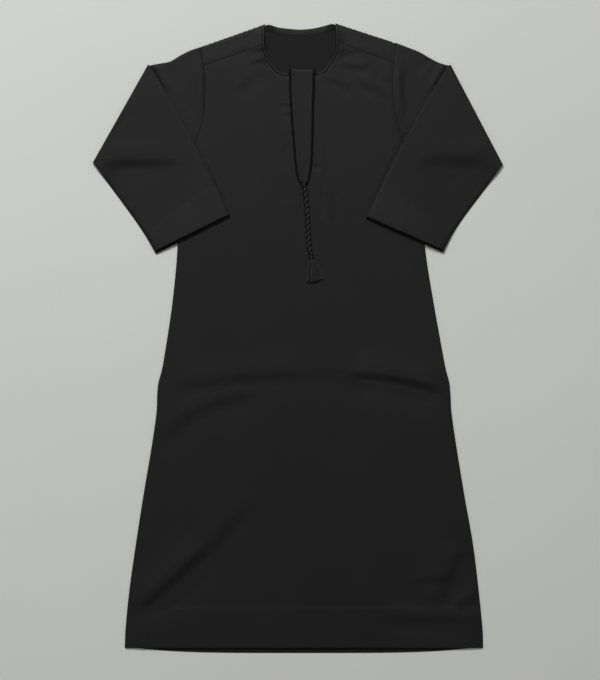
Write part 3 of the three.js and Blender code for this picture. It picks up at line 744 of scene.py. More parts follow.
# The braid is coloured near black and dull: partly its own black, partly painted shade for the
# dark gap beside each edge of the placket.
braid_rayon_and_gap_shade = filament(
    "flat_rayon_braid", "#090909", roughness=0.8, gloss=0.08, twist_scale=300.0, slant=60.0
)
tassel_rayon = filament(
    "cut_rayon_threads", "#2e2e2e", roughness=0.6, gloss=0.4, twist_scale=240.0, slant=0.0
)


def spun_thread(name, shade):
    """Polyester sewing thread, coloured a little lighter than the cloth: a painted highlight where
    it stands up and catches the light.
    """
    material, tree, shader = new_material(name)
    place = add(tree, "ShaderNodeTexCoord").outputs["Object"]
    fuzz = add(tree, "ShaderNodeTexNoise", {"Vector": place, "Scale": 900.0})
    tone = add(
        tree,
        "ShaderNodeMix",
        {0: fuzz.outputs["Fac"], 6: colour("#161616"), 7: colour(shade)},
        data_type="RGBA",
    )
    set_surface(tree, shader, tone.outputs[2], roughness=0.55)
    return material


stitch_thread_painted_highlight = spun_thread("polyester_sewing_thread", "#262626")
print("trimming:", cord_rayon.name, braid_rayon_and_gap_shade.name, tassel_rayon.name)

# %% [markdown]
# ## The back
# The back is one piece. It lies flat on the floor, turns up at the side seams, and at the
# shoulders it rolls forward over the top to a seam in front of the shoulder. The roll is bent
# from the flat pattern, so the cloth keeps its length round the turn.

# %% The neck opening
BAND_WIDTH = 7
NECK_FOOT_Y = 602
neck_edge = {
    "left": table(
        "x y",
        (-74.3, 700),
        (-74.3, 673),
        (-73.2, 658),
        (-63.7, 632.2),
        (-51.7, 616.3),
        (-38.1, 604.2),
        (-21.2, 600.4),
    ),
    "right": table(
        "x y",
        (85.4, 700),
        (85.4, 675),
        (83.2, 652),
        (75.6, 635),
        (66.2, 619.9),
        (56, 607.5),
        (41.2, 602.4),
    ),
}
back_band = table(
    "x edge seam",
    (-81.3, 705.5, 696.8),
    (-66, 709.5, 694.5),
    (-45, 704.5, 690.2),
    (-22, 701.5, 686.5),
    (5, 699.5, 684.7),
    (34, 702, 687.7),
    (61.7, 708, 692.5),
    (78, 711.5, 697),
    (92.4, 707.5, 698.8),
)
BAND_X = {"left": -81.3, "right": 92.4}
OUTWARD = {"left": -1, "right": 1}


def band_edge(side, steps=54):
    return plan_curve(neck_edge[side], steps)


def band_seam(side, steps=54):
    return moved(band_edge(side, steps), OUTWARD[side] * BAND_WIDTH)


print(f"neck: {neck_edge['right']['x'][0] - neck_edge['left']['x'][0]:.0f} mm wide")

# %% Turns at the side seams and over the shoulders
SIDE_TURN = math.acos(SEAM_GAP / 2 / EDGE_RADIUS)  # stops just short of the other panel
HALF_TURN = math.pi * EDGE_RADIUS


def pattern_side(y, side):
    """The panel's side edge on the flat pattern, past the line where the turn starts."""
    return side_x(y, side) + OUTWARD[side] * EDGE_RADIUS * (SIDE_TURN - 1)


def turn_sides(points):
    """How far each pattern point moves in, and how far it leaves its face, at a side seam."""
    x, y = points[:, 0].copy(), points[:, 1]
    leave = np.zeros(len(points))
    for side, outward in OUTWARD.items():
        start = side_x(y, side) - outward * EDGE_RADIUS
        angle = np.clip(outward * (x - start), 0, None) / EDGE_RADIUS
        turned = start + outward * EDGE_RADIUS * np.sin(angle)
        x = np.where(angle > 0, turned, x)
        leave = np.where(angle > 0, EDGE_RADIUS * (1 - np.cos(angle)), leave)
    return x, leave


def fold_frame(side):
    """A point on the shoulder's fold, and the way out over it."""
    fold = shoulder_fold[side]
    start = np.array([fold["x"][0], fold["y"][0]])
    way = np.array([fold["x"][1], fold["y"][1]]) - start
    way /= np.linalg.norm(way)
    out = np.array([-way[1], way[0]])
    return start, out * np.sign(out[1])


def past_turn(points, side):
    """Distance of plan points past the line where the turn over the shoulder starts."""
    start, out = fold_frame(side)
    return (points - start) @ out + EDGE_RADIUS


def over_shoulder(points, side):
    """Pattern places of points that lie in front of the shoulder, on top."""
    inward = -past_turn(points, side)
    return points + (2 * inward + HALF_TURN)[:, None] * fold_frame(side)[1]


SEAM_DIPS = {  # how deep a panel dips at a seam, and over what width
    "neck": (0.5, 3.0),
    "above shoulder seam": (0.5, 6.0),
    "below shoulder seam": (0.3, 14.0),
    "left sleeve": (1.7, 7.0),
    "left body": (0.2, 3.0),
    "right body": (0.7, 8.0),
    "right sleeve": (0.2, 3.0),
}


def dip_near(points, line, kind):
    """How far the cloth goes down beside a seam."""
    depth, width = SEAM_DIPS[kind]
    return depth * (1 - smooth(0, width, distance_to(points, line)))


def dip_at_armhole(points, side):
    """The dip of the body beside an armhole. The sleeve has one of its own."""
    return dip_near(points, armhole[side], f"{side} body")


def armhole_cut(side):
    """The body's cut at the armhole, half the seam's gap inside its line."""
    return moved(armhole[side], -OUTWARD[side] * SEAM_GAP / 2)


SIDE_POINTS = 220


def side_edge(side, hem_y):
    """The cut down a side, from the underarm to the hem."""
    underarm = armhole_rows[side]["y"][-1]
    y = np.linspace(underarm - SEAM_GAP, hem_y, SIDE_POINTS)
    return pairs(pattern_side(y, side), y)


SEAM_POINTS = 40


def seam_line(side, start, end, aside=0.0, steps=SEAM_POINTS):
    """Points along a shoulder seam, from one X to another, moved aside along Y."""
    x = np.linspace(start, end, steps)
    return pairs(x, read(shoulder_seam[side], "x", "y", x) + aside)


print(f"turn at a side seam: {math.degrees(SIDE_TURN):.0f} degrees")

# %% The back's pattern
BACK_HEM = {"side": -700, "dip": 14.4}
EDGE_STEP = 2.5  # between points beside the neck
FLAT_LIMIT = -0.3  # points nearer to the turn than this are left to the turn
ABOVE_SHOULDER = 720  # past the highest point of the garment


def back_half(side):
    """The back's outline from the middle of the neck round to the hem, on the flat pattern."""
    outward = OUTWARD[side]
    neck_x = BAND_X[side] + outward * SEAM_GAP
    x = np.linspace(NECK_MIDDLE, neck_x, 26)
    neck = pairs(x, read(back_band, "x", "seam", x) - SEAM_GAP)
    _, out = fold_frame(side)

    beside_neck = pairs(neck_x, np.arange(neck[-1][1] + 2, ABOVE_SHOULDER, EDGE_STEP))
    beside_neck = beside_neck[past_turn(beside_neck, side) < FLAT_LIMIT]
    turn_at_neck = beside_neck[-1] - past_turn(beside_neck[-1:], side)[0] * out
    steps = np.linspace(0, HALF_TURN, 9)[:, None]
    seam = shoulder_seam[side]
    along_seam = seam_line(side, neck_x, seam["x"][-1], SEAM_GAP / 2)
    down_neck = pairs(neck_x, np.arange(turn_at_neck[1] - 1, along_seam[0, 1] + 1, -EDGE_STEP))
    down_neck = down_neck[past_turn(down_neck, side) < FLAT_LIMIT]

    arm = armhole_cut(side)
    level = past_turn(arm, side)
    on_top = arm[(arm[:, 1] > seam["y"][-1] + 1) & (level < FLAT_LIMIT)][::-1]
    below = arm[level < FLAT_LIMIT]
    turn_at_arm = below[0] - past_turn(below[:1], side)[0] * out
    forward = over_shoulder(np.vstack([down_neck, along_seam, on_top]), side)
    at_neck, at_arm = turn_at_neck + steps * out, turn_at_arm + steps[::-1] * out
    edge = side_edge(side, BACK_HEM["side"])
    return np.vstack([neck, beside_neck, at_neck, forward, at_arm, below, edge])


def back_outline():
    left, right = back_half("left"), back_half("right")[::-1]
    ends = left[-1, 0], right[0, 0]
    u = np.linspace(0, 1, 120)[1:-1]
    hem = pairs(mix(*ends, u), BACK_HEM["side"] - BACK_HEM["dip"] * (1 - (2 * u - 1) ** 4))
    return np.vstack([left, hem, right[:-1]])


NECK_RUCK = {"x": -69.6, "half": 2.8, "y": (650, 674, 686, 694), "height": 3.0}


def neck_ruck(points):
    """The back's cloth stands up a little in the left corner of the neck."""
    x, y = points.T
    low, full, still, high = NECK_RUCK["y"]
    beside = np.exp(-(((x - NECK_RUCK["x"]) / NECK_RUCK["half"]) ** 2))
    return NECK_RUCK["height"] * beside * smooth(low, full, y) * (1 - smooth(still, high, y))


def place_back(pattern):
    """Where the pattern's points lie: on the floor, up the sides and over the shoulders."""
    x, leave = turn_sides(pattern)
    placed = np.stack([x, pattern[:, 1], leave + neck_ruck(pattern)], axis=1)
    for side in OUTWARD:
        start, out = fold_frame(side)
        here = (pattern[:, 0] < NECK_MIDDLE) == (side == "left")
        past = past_turn(pattern, side)
        base = pattern - past[:, None] * out
        angle = np.clip(past / EDGE_RADIUS, 0, math.pi)
        reach = EDGE_RADIUS * np.sin(angle) - np.clip(past - HALF_TURN, 0, None)
        plan = base + reach[:, None] * out
        top = past > HALF_TURN
        height = EDGE_RADIUS * (1 - np.cos(angle))
        seam = seam_line(side, *shoulder_seam[side]["x"][[0, -1]], steps=30)
        dip = np.maximum(dip_near(plan, seam, "above shoulder seam"), dip_at_armhole(plan, side))
        dipped = front_top(plan[:, 0], plan[:, 1]) - dip
        height = np.where(top, dipped, height)
        over = here & (past > 0)
        placed[over] = np.column_stack([plan, height])[over]
    return placed


SPACING = {"back": 9, "front": 6.6}
EDGE_ROWS = {"back": (1.4, 3.2), "front": (1.4, 3.0)}  # rows of points beside the cut
FINE_AREA = {"back": (-330, 560, 330, 860), "front": (-240, 320, 240, 680)}
back_shape = back_outline()
back_cut = (SPACING["back"], EDGE_ROWS["back"], FINE_AREA["back"])
back = make_panel("back_panel", back_shape, back_cut, place_back, facing=-1)
finish_piece(back, cloth, "body_cloth", "back")
# The back's inner faces take the darker copy of the cloth: painted shade inside the neck.
back.data.materials.append(inside_painted_shade)
back.modifiers["cloth"].material_offset = 1

# %% [markdown]
# ## The front
# The front is cut to the neck's curve, with a straight stretch under the placket. It lies on the
# back, and the folds of the table shape it. Its hem is turned up once and pressed, so the fold
# at the foot is rounded, and the top of the hem shows as a faint step.

# %% The front's pattern
HEM_FOLD = 1.4  # radius of the pressed fold at the hem


def front_neck(side):
    """The front's outline from the armhole along the shoulder seam and down to the placket."""
    inward = -OUTWARD[side]
    band = moved(band_seam(side), -inward * SEAM_GAP)
    line = seam_line(side, shoulder_seam[side]["x"][-1], band[0, 0], -SEAM_GAP / 2)
    neck = band[band[:, 1] < line[-1, 1] - 1]
    foot_x = band_edge(side)[-1, 0] + inward * SEAM_GAP
    return np.vstack([line, neck, [[foot_x, neck[-1, 1]], [foot_x, NECK_FOOT_Y]]])


def front_outline():
    halves = []
    hem_y = HEM_Y + HEM_FOLD * (1 - math.pi / 2)
    for side in ("left", "right"):
        neck = front_neck(side)
        arm = armhole_cut(side)
        arm = arm[arm[:, 1] < neck[0, 1] - 1]
        halves.append(np.vstack([neck[::-1], arm, side_edge(side, hem_y)]))
    left, right = halves[0], halves[1][::-1]
    hem = pairs(np.linspace(left[-1, 0], right[0, 0], 160)[1:-1], hem_y)
    foot = pairs(np.linspace(right[-1, 0], left[0, 0], 12)[1:-1], NECK_FOOT_Y)
    return np.vstack([left, hem, right, foot])


def place_front(pattern):
    """Where the pattern's points lie: on the back, with the turns at the sides and the hem."""
    x, leave = turn_sides(pattern)
    y = pattern[:, 1].copy()
    start = HEM_Y + HEM_FOLD
    angle = np.clip(start - y, 0, None) / HEM_FOLD
    y = np.where(angle > 0, start - HEM_FOLD * np.sin(angle), y)
    height = front_top(x, y) - leave - HEM_FOLD * (1 - np.cos(angle))
    plan = pairs(x, y)
    dips = [dip_at_armhole(plan, side) for side in OUTWARD]
    for side in OUTWARD:
        line = front_neck(side)
        dips.append(dip_near(plan, line[:SEAM_POINTS], "below shoulder seam"))
        dips.append(dip_near(plan, line[SEAM_POINTS:], "neck"))
    return np.stack([x, y, height - np.max(dips, axis=0)], axis=1)


front_shape = front_outline()
front_cut = (SPACING["front"], EDGE_ROWS["front"], FINE_AREA["front"])
front = make_panel("front_panel", front_shape, front_cut, place_front, facing=1)
finish_piece(front, cloth, "body_cloth", "front")

# %% [markdown]
# ## Closed strips
# The neckband, the placket and the braid are narrow, and their cut edges show. Each is a closed
# shell between an upper and a lower grid of points, so its edge can be rounded like a real fold.

# %% Strips
def closed_shell(over, under, ringed=False):
    """Points and faces of a closed shell between two grids, rows by columns by XYZ."""
    rows, columns = over.shape[:2]
    points = np.vstack([over.reshape(-1, 3), under.reshape(-1, 3)])
    half = rows * columns
    top = grid_faces(rows, columns, ringed)
    faces = top + [tuple(half + i for i in face[::-1]) for face in top]
    spaces = columns if ringed else columns - 1
    for row, flip in ((0, False), (rows - 1, True)):
        for c in range(spaces):
            a, b = row * columns + c, row * columns + (c + 1) % columns
            face = (b, a, half + a, half + b)
            faces.append(face[::-1] if flip else face)
    if not ringed:
        for column, flip in ((0, True), (columns - 1, False)):
            for r in range(rows - 1):
                a, b = r * columns + column, (r + 1) * columns + column
                face = (b, a, half + a, half + b)
                faces.append(face[::-1] if flip else face)
    return points, faces


def facing_out(points, faces):
    """Turns a closed shell's faces round where they point inwards. Each face has four corners."""
    a, b, c, d = (points[corner] for corner in np.array(faces).T)
    volume = (a * (np.cross(b, c) + np.cross(c, d))).sum()
    return faces if volume > 0 else [face[::-1] for face in faces]


def distance_along(grid):
    """How far each point of a grid is from the first row, along the cloth."""
    return np.pad(np.cumsum(step_lengths(grid), axis=0), ((1, 0), (0, 0)))


def arc_pattern(grid):
    """Places on the flat strip: the distance across and the distance along, from the grid."""
    u = np.pad(np.cumsum(step_lengths(grid, axis=1), axis=1), ((0, 0), (1, 0)))
    return np.stack([u, distance_along(grid)], axis=2).reshape(-1, 2)


def join_shells(shells):
    """Several closed shells as one set of points, faces and pattern places."""
    points, faces, pattern = [], [], []
    for over, under, ringed in shells:
        more_points, more_faces = closed_shell(over, under, ringed)
        start = sum(len(p) for p in points)
        more_faces = facing_out(more_points, more_faces)
        faces += [tuple(start + i for i in face) for face in more_faces]
        points.append(more_points)
        flat = arc_pattern(over)
        pattern.append(np.vstack([flat, flat]))
    return np.vstack(points), faces, np.vstack(pattern)


def make_strip(name, shells):
    """A mesh of closed shells, with its place on the flat cloth."""
    points, faces, pattern = join_shells(shells)
    print(f"{name}: {len(points)} points")
    return make_mesh(name, points, faces, pattern)


def grid_area(grid):
    """Area in square metres of a surface that is given as rows of points."""
    down, across = grid[1:, :-1] - grid[:-1, :-1], grid[:-1, 1:] - grid[:-1, :-1]
    return np.linalg.norm(np.cross(down, across), axis=2).sum() * MM**2


def cut_size(*shells):
    """Width and length in metres of the flat cloth that some strips are cut from."""
    length, area = 0, 0
    for over, *_ in shells:
        across = step_lengths(over, axis=1).sum(axis=1).mean()
        along_it = step_lengths(over).sum(axis=0).mean()
        length += max(across, along_it)
        area += across * along_it
    return area / length * MM, length * MM


# %% [markdown]
# ## The neckband
# A bias strip edges the neck. In front it follows the curve down to the placket, and at the
# shoulders it rolls over with the back's cloth. The stretch across the back is seen through the
# opening. Each stretch is crowned, because the strip is folded over the raw edge.

# %% The neckband
NECK_LIP = 8
INNER_LEVEL = 1.6  # the band's inner edge comes down to the back
band_profile = table(
    "share rise",
    (0, -0.9),
    (0.06, -0.5),
    (0.13, -0.2),
    (0.22, 0.0),
    (0.35, 0.15),
    (0.6, 0.15),
    (0.85, -0.05),
    (0.95, -0.3),
    (1, -0.8),
)
BAND_SETTLE = 6  # the inner edge comes down over this length from the shoulder
INNER_SHARE = (-0.05, 0.3)  # the part of the width that comes down
BACK_CROWN = {"base": 0.35, "share": 0.7}
BACK_STAND = {"height": 5.0, "rise": 5, "end": 30}  # the back stretch leans up near its ends


def front_band(side):
    """Upper and lower points of the stretch that runs from the back lip to the placket."""
    edge, seam = band_edge(side, 70), band_seam(side, 70)
    over, under = [], []
    for share, rise in zip(band_profile["share"], band_profile["rise"]):
        column = mix(edge, seam, share)
        x = column[0, 0]
        fold_y = float(shoulder_y(x))
        outer = [(x, fold_y - EDGE_RADIUS - NECK_LIP, 0)]
        inner = [(x, fold_y - EDGE_RADIUS - NECK_LIP, WALL)]
        for angle in np.radians(np.linspace(-90, 90, 13)):
            for radius, line in ((EDGE_RADIUS, outer), (EDGE_RADIUS - WALL, inner)):
                y = fold_y - EDGE_RADIUS + radius * math.cos(angle)
                line.append((x, y, EDGE_RADIUS + radius * math.sin(angle)))
        top = front_top(column[:, 0], column[:, 1])
        settle = smooth(0, BAND_SETTLE, fold_y - EDGE_RADIUS - column[:, 1])
        height = mix(INNER_LEVEL, top + rise, smooth(*INNER_SHARE, share))
        height = mix(top, height, settle)
        outer += zip(column[:, 0], column[:, 1], height)
        inner += zip(column[:, 0], column[:, 1], np.minimum(top - WALL - 0.1, height - 0.3))
        over.append(outer)
        under.append(inner)
    return np.array(over), np.array(under), False


def back_band_stretch():
    """The stretch across the back of the neck, which lies on the floor and shows its inside."""
    x = np.linspace(back_band["x"][0], back_band["x"][-1], 70)
    edge, seam = (read(back_band, "x", key, x) for key in ("edge", "seam"))
    from_corner = np.minimum(x - NECK_SIDE["left"], NECK_SIDE["right"] - x)
    stand = smooth(0, BACK_STAND["rise"], from_corner)
    stand = stand * (1 - smooth(BACK_STAND["rise"], BACK_STAND["end"], from_corner))
    stand = stand * BACK_STAND["height"]
    over, under = [], []
    for share, rise in zip(band_profile["share"], band_profile["rise"]):
        y = mix(edge, seam, share)
        lean = stand * (1 - share)
        crown = BACK_CROWN["base"] + BACK_CROWN["share"] * rise
        over.append(np.stack([x, y, lean + WALL + crown], axis=1))
        under.append(np.stack([x, y, lean], axis=1))
    return np.array(over), np.array(under), False


band_shells = [front_band("left"), front_band("right"), back_band_stretch()]
neckband = make_strip("neckband_strip", band_shells)
finish_piece(neckband, band_cloth, "body_cloth", "neckband")

# %% [markdown]
# ## The placket and its braid
# The placket is a strip of two layers, pressed flat, that tapers to a point. It lies on the front
# over the slit, between two narrow braids. The pressed edge stands up a little, which is what
# catches the light along the real one.

# %% The placket
ON_CLOTH = 0.3
PLACKET = {"top": 609, "foot": 351.4, "level": 1.8}
TOP_EDGE = {"drop": 0.7, "reach": 3}  # the pressed top edge is thinner
PLACKET_WAVES = {"height": 0.12, "lengths": (13, 31)}
TOP_PUCKER = {"height": 0.35, "reach": 9, "waves": 11}  # from the short seam across the top
BRAID = {"half": 2.0, "rise": 1.3, "edge": 0.25, "foot": 345.5}
placket_rows = table(
    "y left right",
    (609, -17.6, 37.3),
    (566, -17.7, 36.8),
    (528, -15.6, 34.9),
    (494, -13.6, 34.3),
    (451, -9.9, 33.6),
    (419, -7.4, 32.5),
    (387, -4.4, 30.3),
    (365, -0.6, 26.4),
    (353, 3.8, 23.6),
    (345.5, 8, 19.7),
)
placket_profile = table(
    "share rise",
    (0, 0.9),
    (0.015, 1.5),
    (0.04, 1.95),
    (0.08, 2.05),
    (0.14, 1.85),
    (0.3, 1.75),
    (0.5, 1.75),
    (0.7, 1.75),
    (0.86, 1.85),
    (0.92, 2.05),
    (0.96, 1.95),
    (0.985, 1.5),
    (1, 0.9),
)


def on_front(x, y, rise):
    """Points that lie on the front, raised by their own height."""
    return np.stack([x, y, front_top(x, y) + ON_CLOTH + rise], axis=-1)


def placket_shell():
    y = np.linspace(PLACKET["top"], PLACKET["foot"], 90)
    left = read(placket_rows, "y", "left", y) + BRAID["half"] + SEAM_GAP
    right = read(placket_rows, "y", "right", y) - BRAID["half"] - SEAM_GAP
    over, under = [], []
    from_top = PLACKET["top"] - y
    ends = TOP_EDGE["drop"] * (1 - smooth(0, TOP_EDGE["reach"], from_top))
    for share, rise in zip(placket_profile["share"], placket_profile["rise"]):
        x = mix(left, right, share)
        short, long = PLACKET_WAVES["lengths"]
        wavy = PLACKET_WAVES["height"] * np.sin(y / short + 3 * share) * np.sin(y / long)
        pucker = TOP_PUCKER["height"] * np.exp(-from_top / TOP_PUCKER["reach"])
        wavy = wavy + pucker * np.sin(TOP_PUCKER["waves"] * share + 0.7)
        over.append(on_front(x, y, rise - ends + wavy * (rise > 1.6)))
        under.append(on_front(x, y, np.zeros_like(x)))
    return np.array(over), np.array(under), False


placket = make_strip("placket_strip", [placket_shell()])
finish_piece(placket, cloth, "body_cloth", "placket")


# %% The braid beside it
def braid_shell(side):
    y = np.linspace(PLACKET["top"], BRAID["foot"], 100)
    middle = read(placket_rows, "y", side, y)
    over, under = [], []
    for u in np.sin(np.linspace(-math.pi / 2, math.pi / 2, 9)):
        x = middle + u * BRAID["half"]
        rise = mix(BRAID["edge"], BRAID["rise"], math.sqrt(1 - u * u))
        over.append(on_front(x, y, rise))
        under.append(on_front(x, y, np.zeros_like(x)))
    return np.array(over), np.array(under), False


for side in OUTWARD:
    braid = make_strip(f"braid_{side}", [braid_shell(side)])
    # Near-black braid: partly painted shade for the gap beside the placket.
    finish_piece(braid, braid_rayon_and_gap_shade, "trim_cord", f"piping_{side}")

# %% [markdown]
# ## The sleeves
# A sleeve is a flat tube from the armhole to the cuff. It turns back on itself at the fold, and
# the forearm comes down over the chest. One function gives a ring of the tube for each place
# along it: two layers that lie on each other, with a rolled edge between them on each side.

# %% The sleeves' sizes
TURN_RADIUS = 0.45
SEAM_ALLOWANCE = {"reach": 3, "narrower": 0.03, "level": 1.15, "squeeze": 0.1}
CUFF = {
    "hem": 82,
    "hem_step": 0.4,
    "hem_step_width": 5,
    "lift": 0.8,
    "lift_range": (0.8, 1),
    "arch": 1.8,  # how much further the mouth stands open in its middle
    "arch_range": (0.75, 1),
}
DROP = {  # where a forearm comes down: steeply below the upper arm, slowly on the other sides
    "arm": {"left": (-3, 21), "right": (-3, 31)},
    "body": {"left": (-20, 110), "right": (-20, 110)},
    "fold": {"left": (8, 60), "right": (8, 60)},
}
BOW_PLACE = 1.8  # above 1, the outer edge of the forearm bows nearer to the cuff
top_sag = {  # how far the upper edge of the arm hangs below a straight line
    "left": table(
        "t sag",
        (0, 0),
        (0.2, -0.5),
        (0.38, 2.1),
        (0.5, 5.5),
        (0.6, 7.7),
        (0.77, 4.3),
        (0.9, 1.5),
        (1, 0),
    ),
    "right": table(
        "t sag",
        (0, 0),
        (0.25, -1.5),
        (0.44, -2),
        (0.64, 1.4),
        (0.8, 3.1),
        (0.9, 2),
        (1, 0),
    ),
}
sleeve_cut = {
    "left": {
        "fold_top": (-339.5, 619.7),
        "fold_foot": (-465.4, 396.4),
        "cuff_inner": (-152.3, 273.4),
        "cuff_outer": (-321.5, 190.6),
        "inner_bow": 6,
        "outer_bow": 4,
        "under_bow": 6,
        "gape": 2.8,  # how far the mouth stands open at its sides
        "lip": 6.4,  # how far the lower layer reaches past the upper one
    },
    "right": {
        "fold_top": (346.1, 619.7),
        "fold_foot": (465.8, 391.5),
        "cuff_inner": (154.4, 269.5),
        "cuff_outer": (329.3, 193.4),
        "inner_bow": 8,
        "outer_bow": 6,
        "under_bow": 17,
        "gape": 4.0,
        "lip": 5.0,
    },
}
for cut in sleeve_cut.values():
    for corner in ("fold_top", "fold_foot", "cuff_inner", "cuff_outer"):
        cut[corner] = np.array(cut[corner])
ARMHOLE_DIP_FADE = (495, 545)  # the dip beside the armhole dies out down to here
CREASE_END = 0.05  # the creases stop this share of the arm before the fold
DEEPEST_PUFF = -1.7  # any lower, the upper layer of the arm would touch the lower one
arm_folds = table(
    "x1 y1 x2 y2 bow half height",
    # beside the armhole seams
    (-222, 622, -224, 490, 2, 4.5, 1.5),
    (-235, 606, -236, 500, 0, 5, -1.2),
    (227, 622, 231, 486, -2, 5, 0.8),
    # small folds at the upper arms
    (268, 598, 302, 634, 2, 6, -1.1),
    (280, 592, 312, 622, 2, 6, 0.3),
    (-290, 616, -270, 560, 3, 8, -0.4),
)
arm_steps = table(
    "x1 y1 x2 y2 bow half reach drop",
    # the stroke beside the right armhole, and the hollows at the tops of the folded edges
    (243, 484, 236, 626, 2, 2.5, 11, 1.7),
    (-352.5, 657, -292.5, 547, 0, 3, 12, 2.8),
    (299, 547, 359, 657, 0, 3, 12, 2.8),
)
forearm_folds = table(
    "x1 y1 x2 y2 bow half height",
    # the ridge above the drop, and a soft shadow beside the fold
    (-446, 424, -262, 424, 4, 16, 0.6),
    (-372, 520, -436, 430, -4, 14, -0.5),
    (446, 432, 290, 432, 4, 16, 0.5),
    (352, 540, 420, 440, 4, 14, -0.4),
    # faint folds across the forearms
    (-400, 350, -300, 372, 4, 14, -0.3),
    (-330, 300, -230, 350, 3, 14, 0.2),
    (330, 352, 400, 372, -4, 14, -0.3),
    (240, 330, 330, 300, 4, 14, 0.2),
)
print("sleeve folds:", sum(len(rows["x1"]) for rows in (arm_folds, arm_steps, forearm_folds)))


def unit(vector):
    vector = np.asarray(vector, float)
    return vector / np.linalg.norm(vector)


def arm_arch(t):
    """The arch of the upper arm's lower edge: nearly straight, and short at its ends."""
    return 1 - (2 * t - 1) ** 8


def under_edge(side, x):
    """The lower edge of the upper arm, seen from above, as a height along Y."""
    cut = sleeve_cut[side]
    underarm = armhole[side][-1]
    t = np.clip((x - underarm[0]) / (cut["fold_foot"][0] - underarm[0]), 0, 1)
    return mix(underarm[1], cut["fold_foot"][1], t) + cut["under_bow"] * arm_arch(t)


def covered_top(side, x, y):
    """Top of what lies under the forearm, with the clearance that keeps them apart."""
    outward = OUTWARD[side]
    cut = sleeve_cut[side]
    top = cut["fold_top"]
    way = unit(cut["fold_foot"] - top)
    from_fold = (y - top[1]) * way[0] - (x - top[0]) * way[1]
    away = {
        "body": outward * (x - side_x(y, side)),
        "arm": under_edge(side, x) - y,
        "fold": np.abs(from_fold),
    }
    open_floor = 1.0
    for key, sides in DROP.items():
        start, width = sides[side]
        open_floor = open_floor * smooth(start, start + width, away[key])
    rest = np.maximum(LAY_HEIGHT + 2 * TURN_RADIUS, front_top(x, y) + TURN_RADIUS)
    return (1 - open_floor) * rest


# %% Rings of a sleeve
def sleeve_station(side, stage, t, w):
    """The middle of the tube, the way its front faces, and how far its two layers swell."""
    cut, inward = sleeve_cut[side], -OUTWARD[side]
    fold_top, fold_foot = cut["fold_top"], cut["fold_foot"]
    fold_way = unit(fold_foot - fold_top)
    out = np.array([fold_way[1], -fold_way[0]]) * inward
    reach = LAY_HEIGHT + TURN_RADIUS
    bend = EDGE_RADIUS + TURN_RADIUS
    axis_top, axis_foot = fold_top - out * reach, fold_foot - out * reach
    share = w[:, None]
    axis = mix(axis_top, axis_foot, share)
    flat = np.zeros_like(w)
    if stage == "upper":
        arm_line = moved(armhole[side], OUTWARD[side] * SEAM_GAP / 2)
        plan = mix(along(arm_line, w), axis, t)
        sag = read(top_sag[side], "t", "sag", t)
        plan[:, 1] += arm_arch(t) * cut["under_bow"] * w**2 - sag * (1 - w) ** 2
        middle = np.column_stack([plan, flat + EDGE_RADIUS])
        like_front = (front_top(*plan.T) - LAY_HEIGHT) * (1 - smooth(0, 0.6, t))
        start = np.linalg.norm(plan - along(arm_line, w), axis=1)
        depth, wide = SEAM_DIPS[f"{side} sleeve"]
        dip = depth * (1 - smooth(0, wide, start)) * smooth(*ARMHOLE_DIP_FADE, plan[:, 1])
        ends = smooth(0, CREASE_END, 1 - t)
        creases = fold_heights(arm_folds, *plan.T) + step_heights(arm_steps, *plan.T)
        puff = like_front - dip + ends * (creases + groove(*plan.T))
        puff = np.maximum(puff, DEEPEST_PUFF)
        return middle, np.array([0, 0, 1.0]), puff, flat
    if stage == "turn":
        angle = math.pi * t
        middle = np.column_stack([axis, flat + EDGE_RADIUS + bend * (1 - math.cos(angle))])
        middle[:, :2] += out * bend * math.sin(angle)
        return middle, np.array([*(-out * math.sin(angle)), math.cos(angle)]), flat, flat
    inner, outer = mix(axis_top, cut["cuff_inner"], t), mix(axis_foot, cut["cuff_outer"], t)
    inner_way = unit(cut["cuff_inner"] - fold_top)
    bow_way = np.array([-inner_way[1], inner_way[0]]) * inward
    outer_bow = cut["outer_bow"] * math.sin(math.pi * t**BOW_PLACE)
    bow = mix(cut["inner_bow"] * 4 * t * (1 - t), outer_bow, share)
    plan = mix(inner, outer, share) + bow_way * bow
    lift = CUFF["lift"] * smooth(*CUFF["lift_range"], t)
    middle = np.column_stack([plan, covered_top(side, *plan.T) + lift + EDGE_RADIUS])
    relief = fold_heights(forearm_folds, *plan.T) + UNEVEN_HEIGHT * unevenness(*plan.T)
    arch = CUFF["arch"] * smooth(*CUFF["arch_range"], t) * np.sin(math.pi * np.clip(w, 0, 1))
    length = np.linalg.norm(cut["cuff_inner"] - axis_top)
    from_cuff = (1 - t) * length
    hem = CUFF["hem_step"] * smooth(0, CUFF["hem_step_width"], CUFF["hem"] - from_cuff)
    return middle, np.array([0, 0, -1.0]), flat, arch + relief + hem


LAYER_COLUMNS = 48
ROLL_ANGLES = np.radians(np.linspace(75, -75, 9))
EDGE_WIDTH = {"upper": 9, "turn": 15, "forearm": 15}  # folds die out beside a rolled edge
GAPE_RANGE = (0.6, 1)  # the cuff opens over this stretch of the forearm
LIP_RANGE = (0.94, 1)  # and its upper layer falls short over this one
PRESSED = {"share": 0.6, "reach": 0.08}  # how much sharper a forearm's edges are
# the forearm thins out towards its outer edge
FLAT_EDGE = {"share": 0.4, "width": 6, "range": (0.03, 0.2)}


def open_mouth(side, t, lowest, *faces):
    """Opens the cuff: the upper layer stands up, and stops short of the lower one."""
    cut = sleeve_cut[side]
    way = np.array([*unit(cut["cuff_inner"] - cut["fold_top"]), 0.0])
    share = np.clip((faces[0][:, 2] - lowest) / (2 * EDGE_RADIUS), 0, 1)
    for face in faces:
        face -= (share * cut["lip"] * smooth(*LIP_RANGE, t))[:, None] * way
        face[:, 2] += share * cut["gape"] * smooth(*GAPE_RANGE, t)


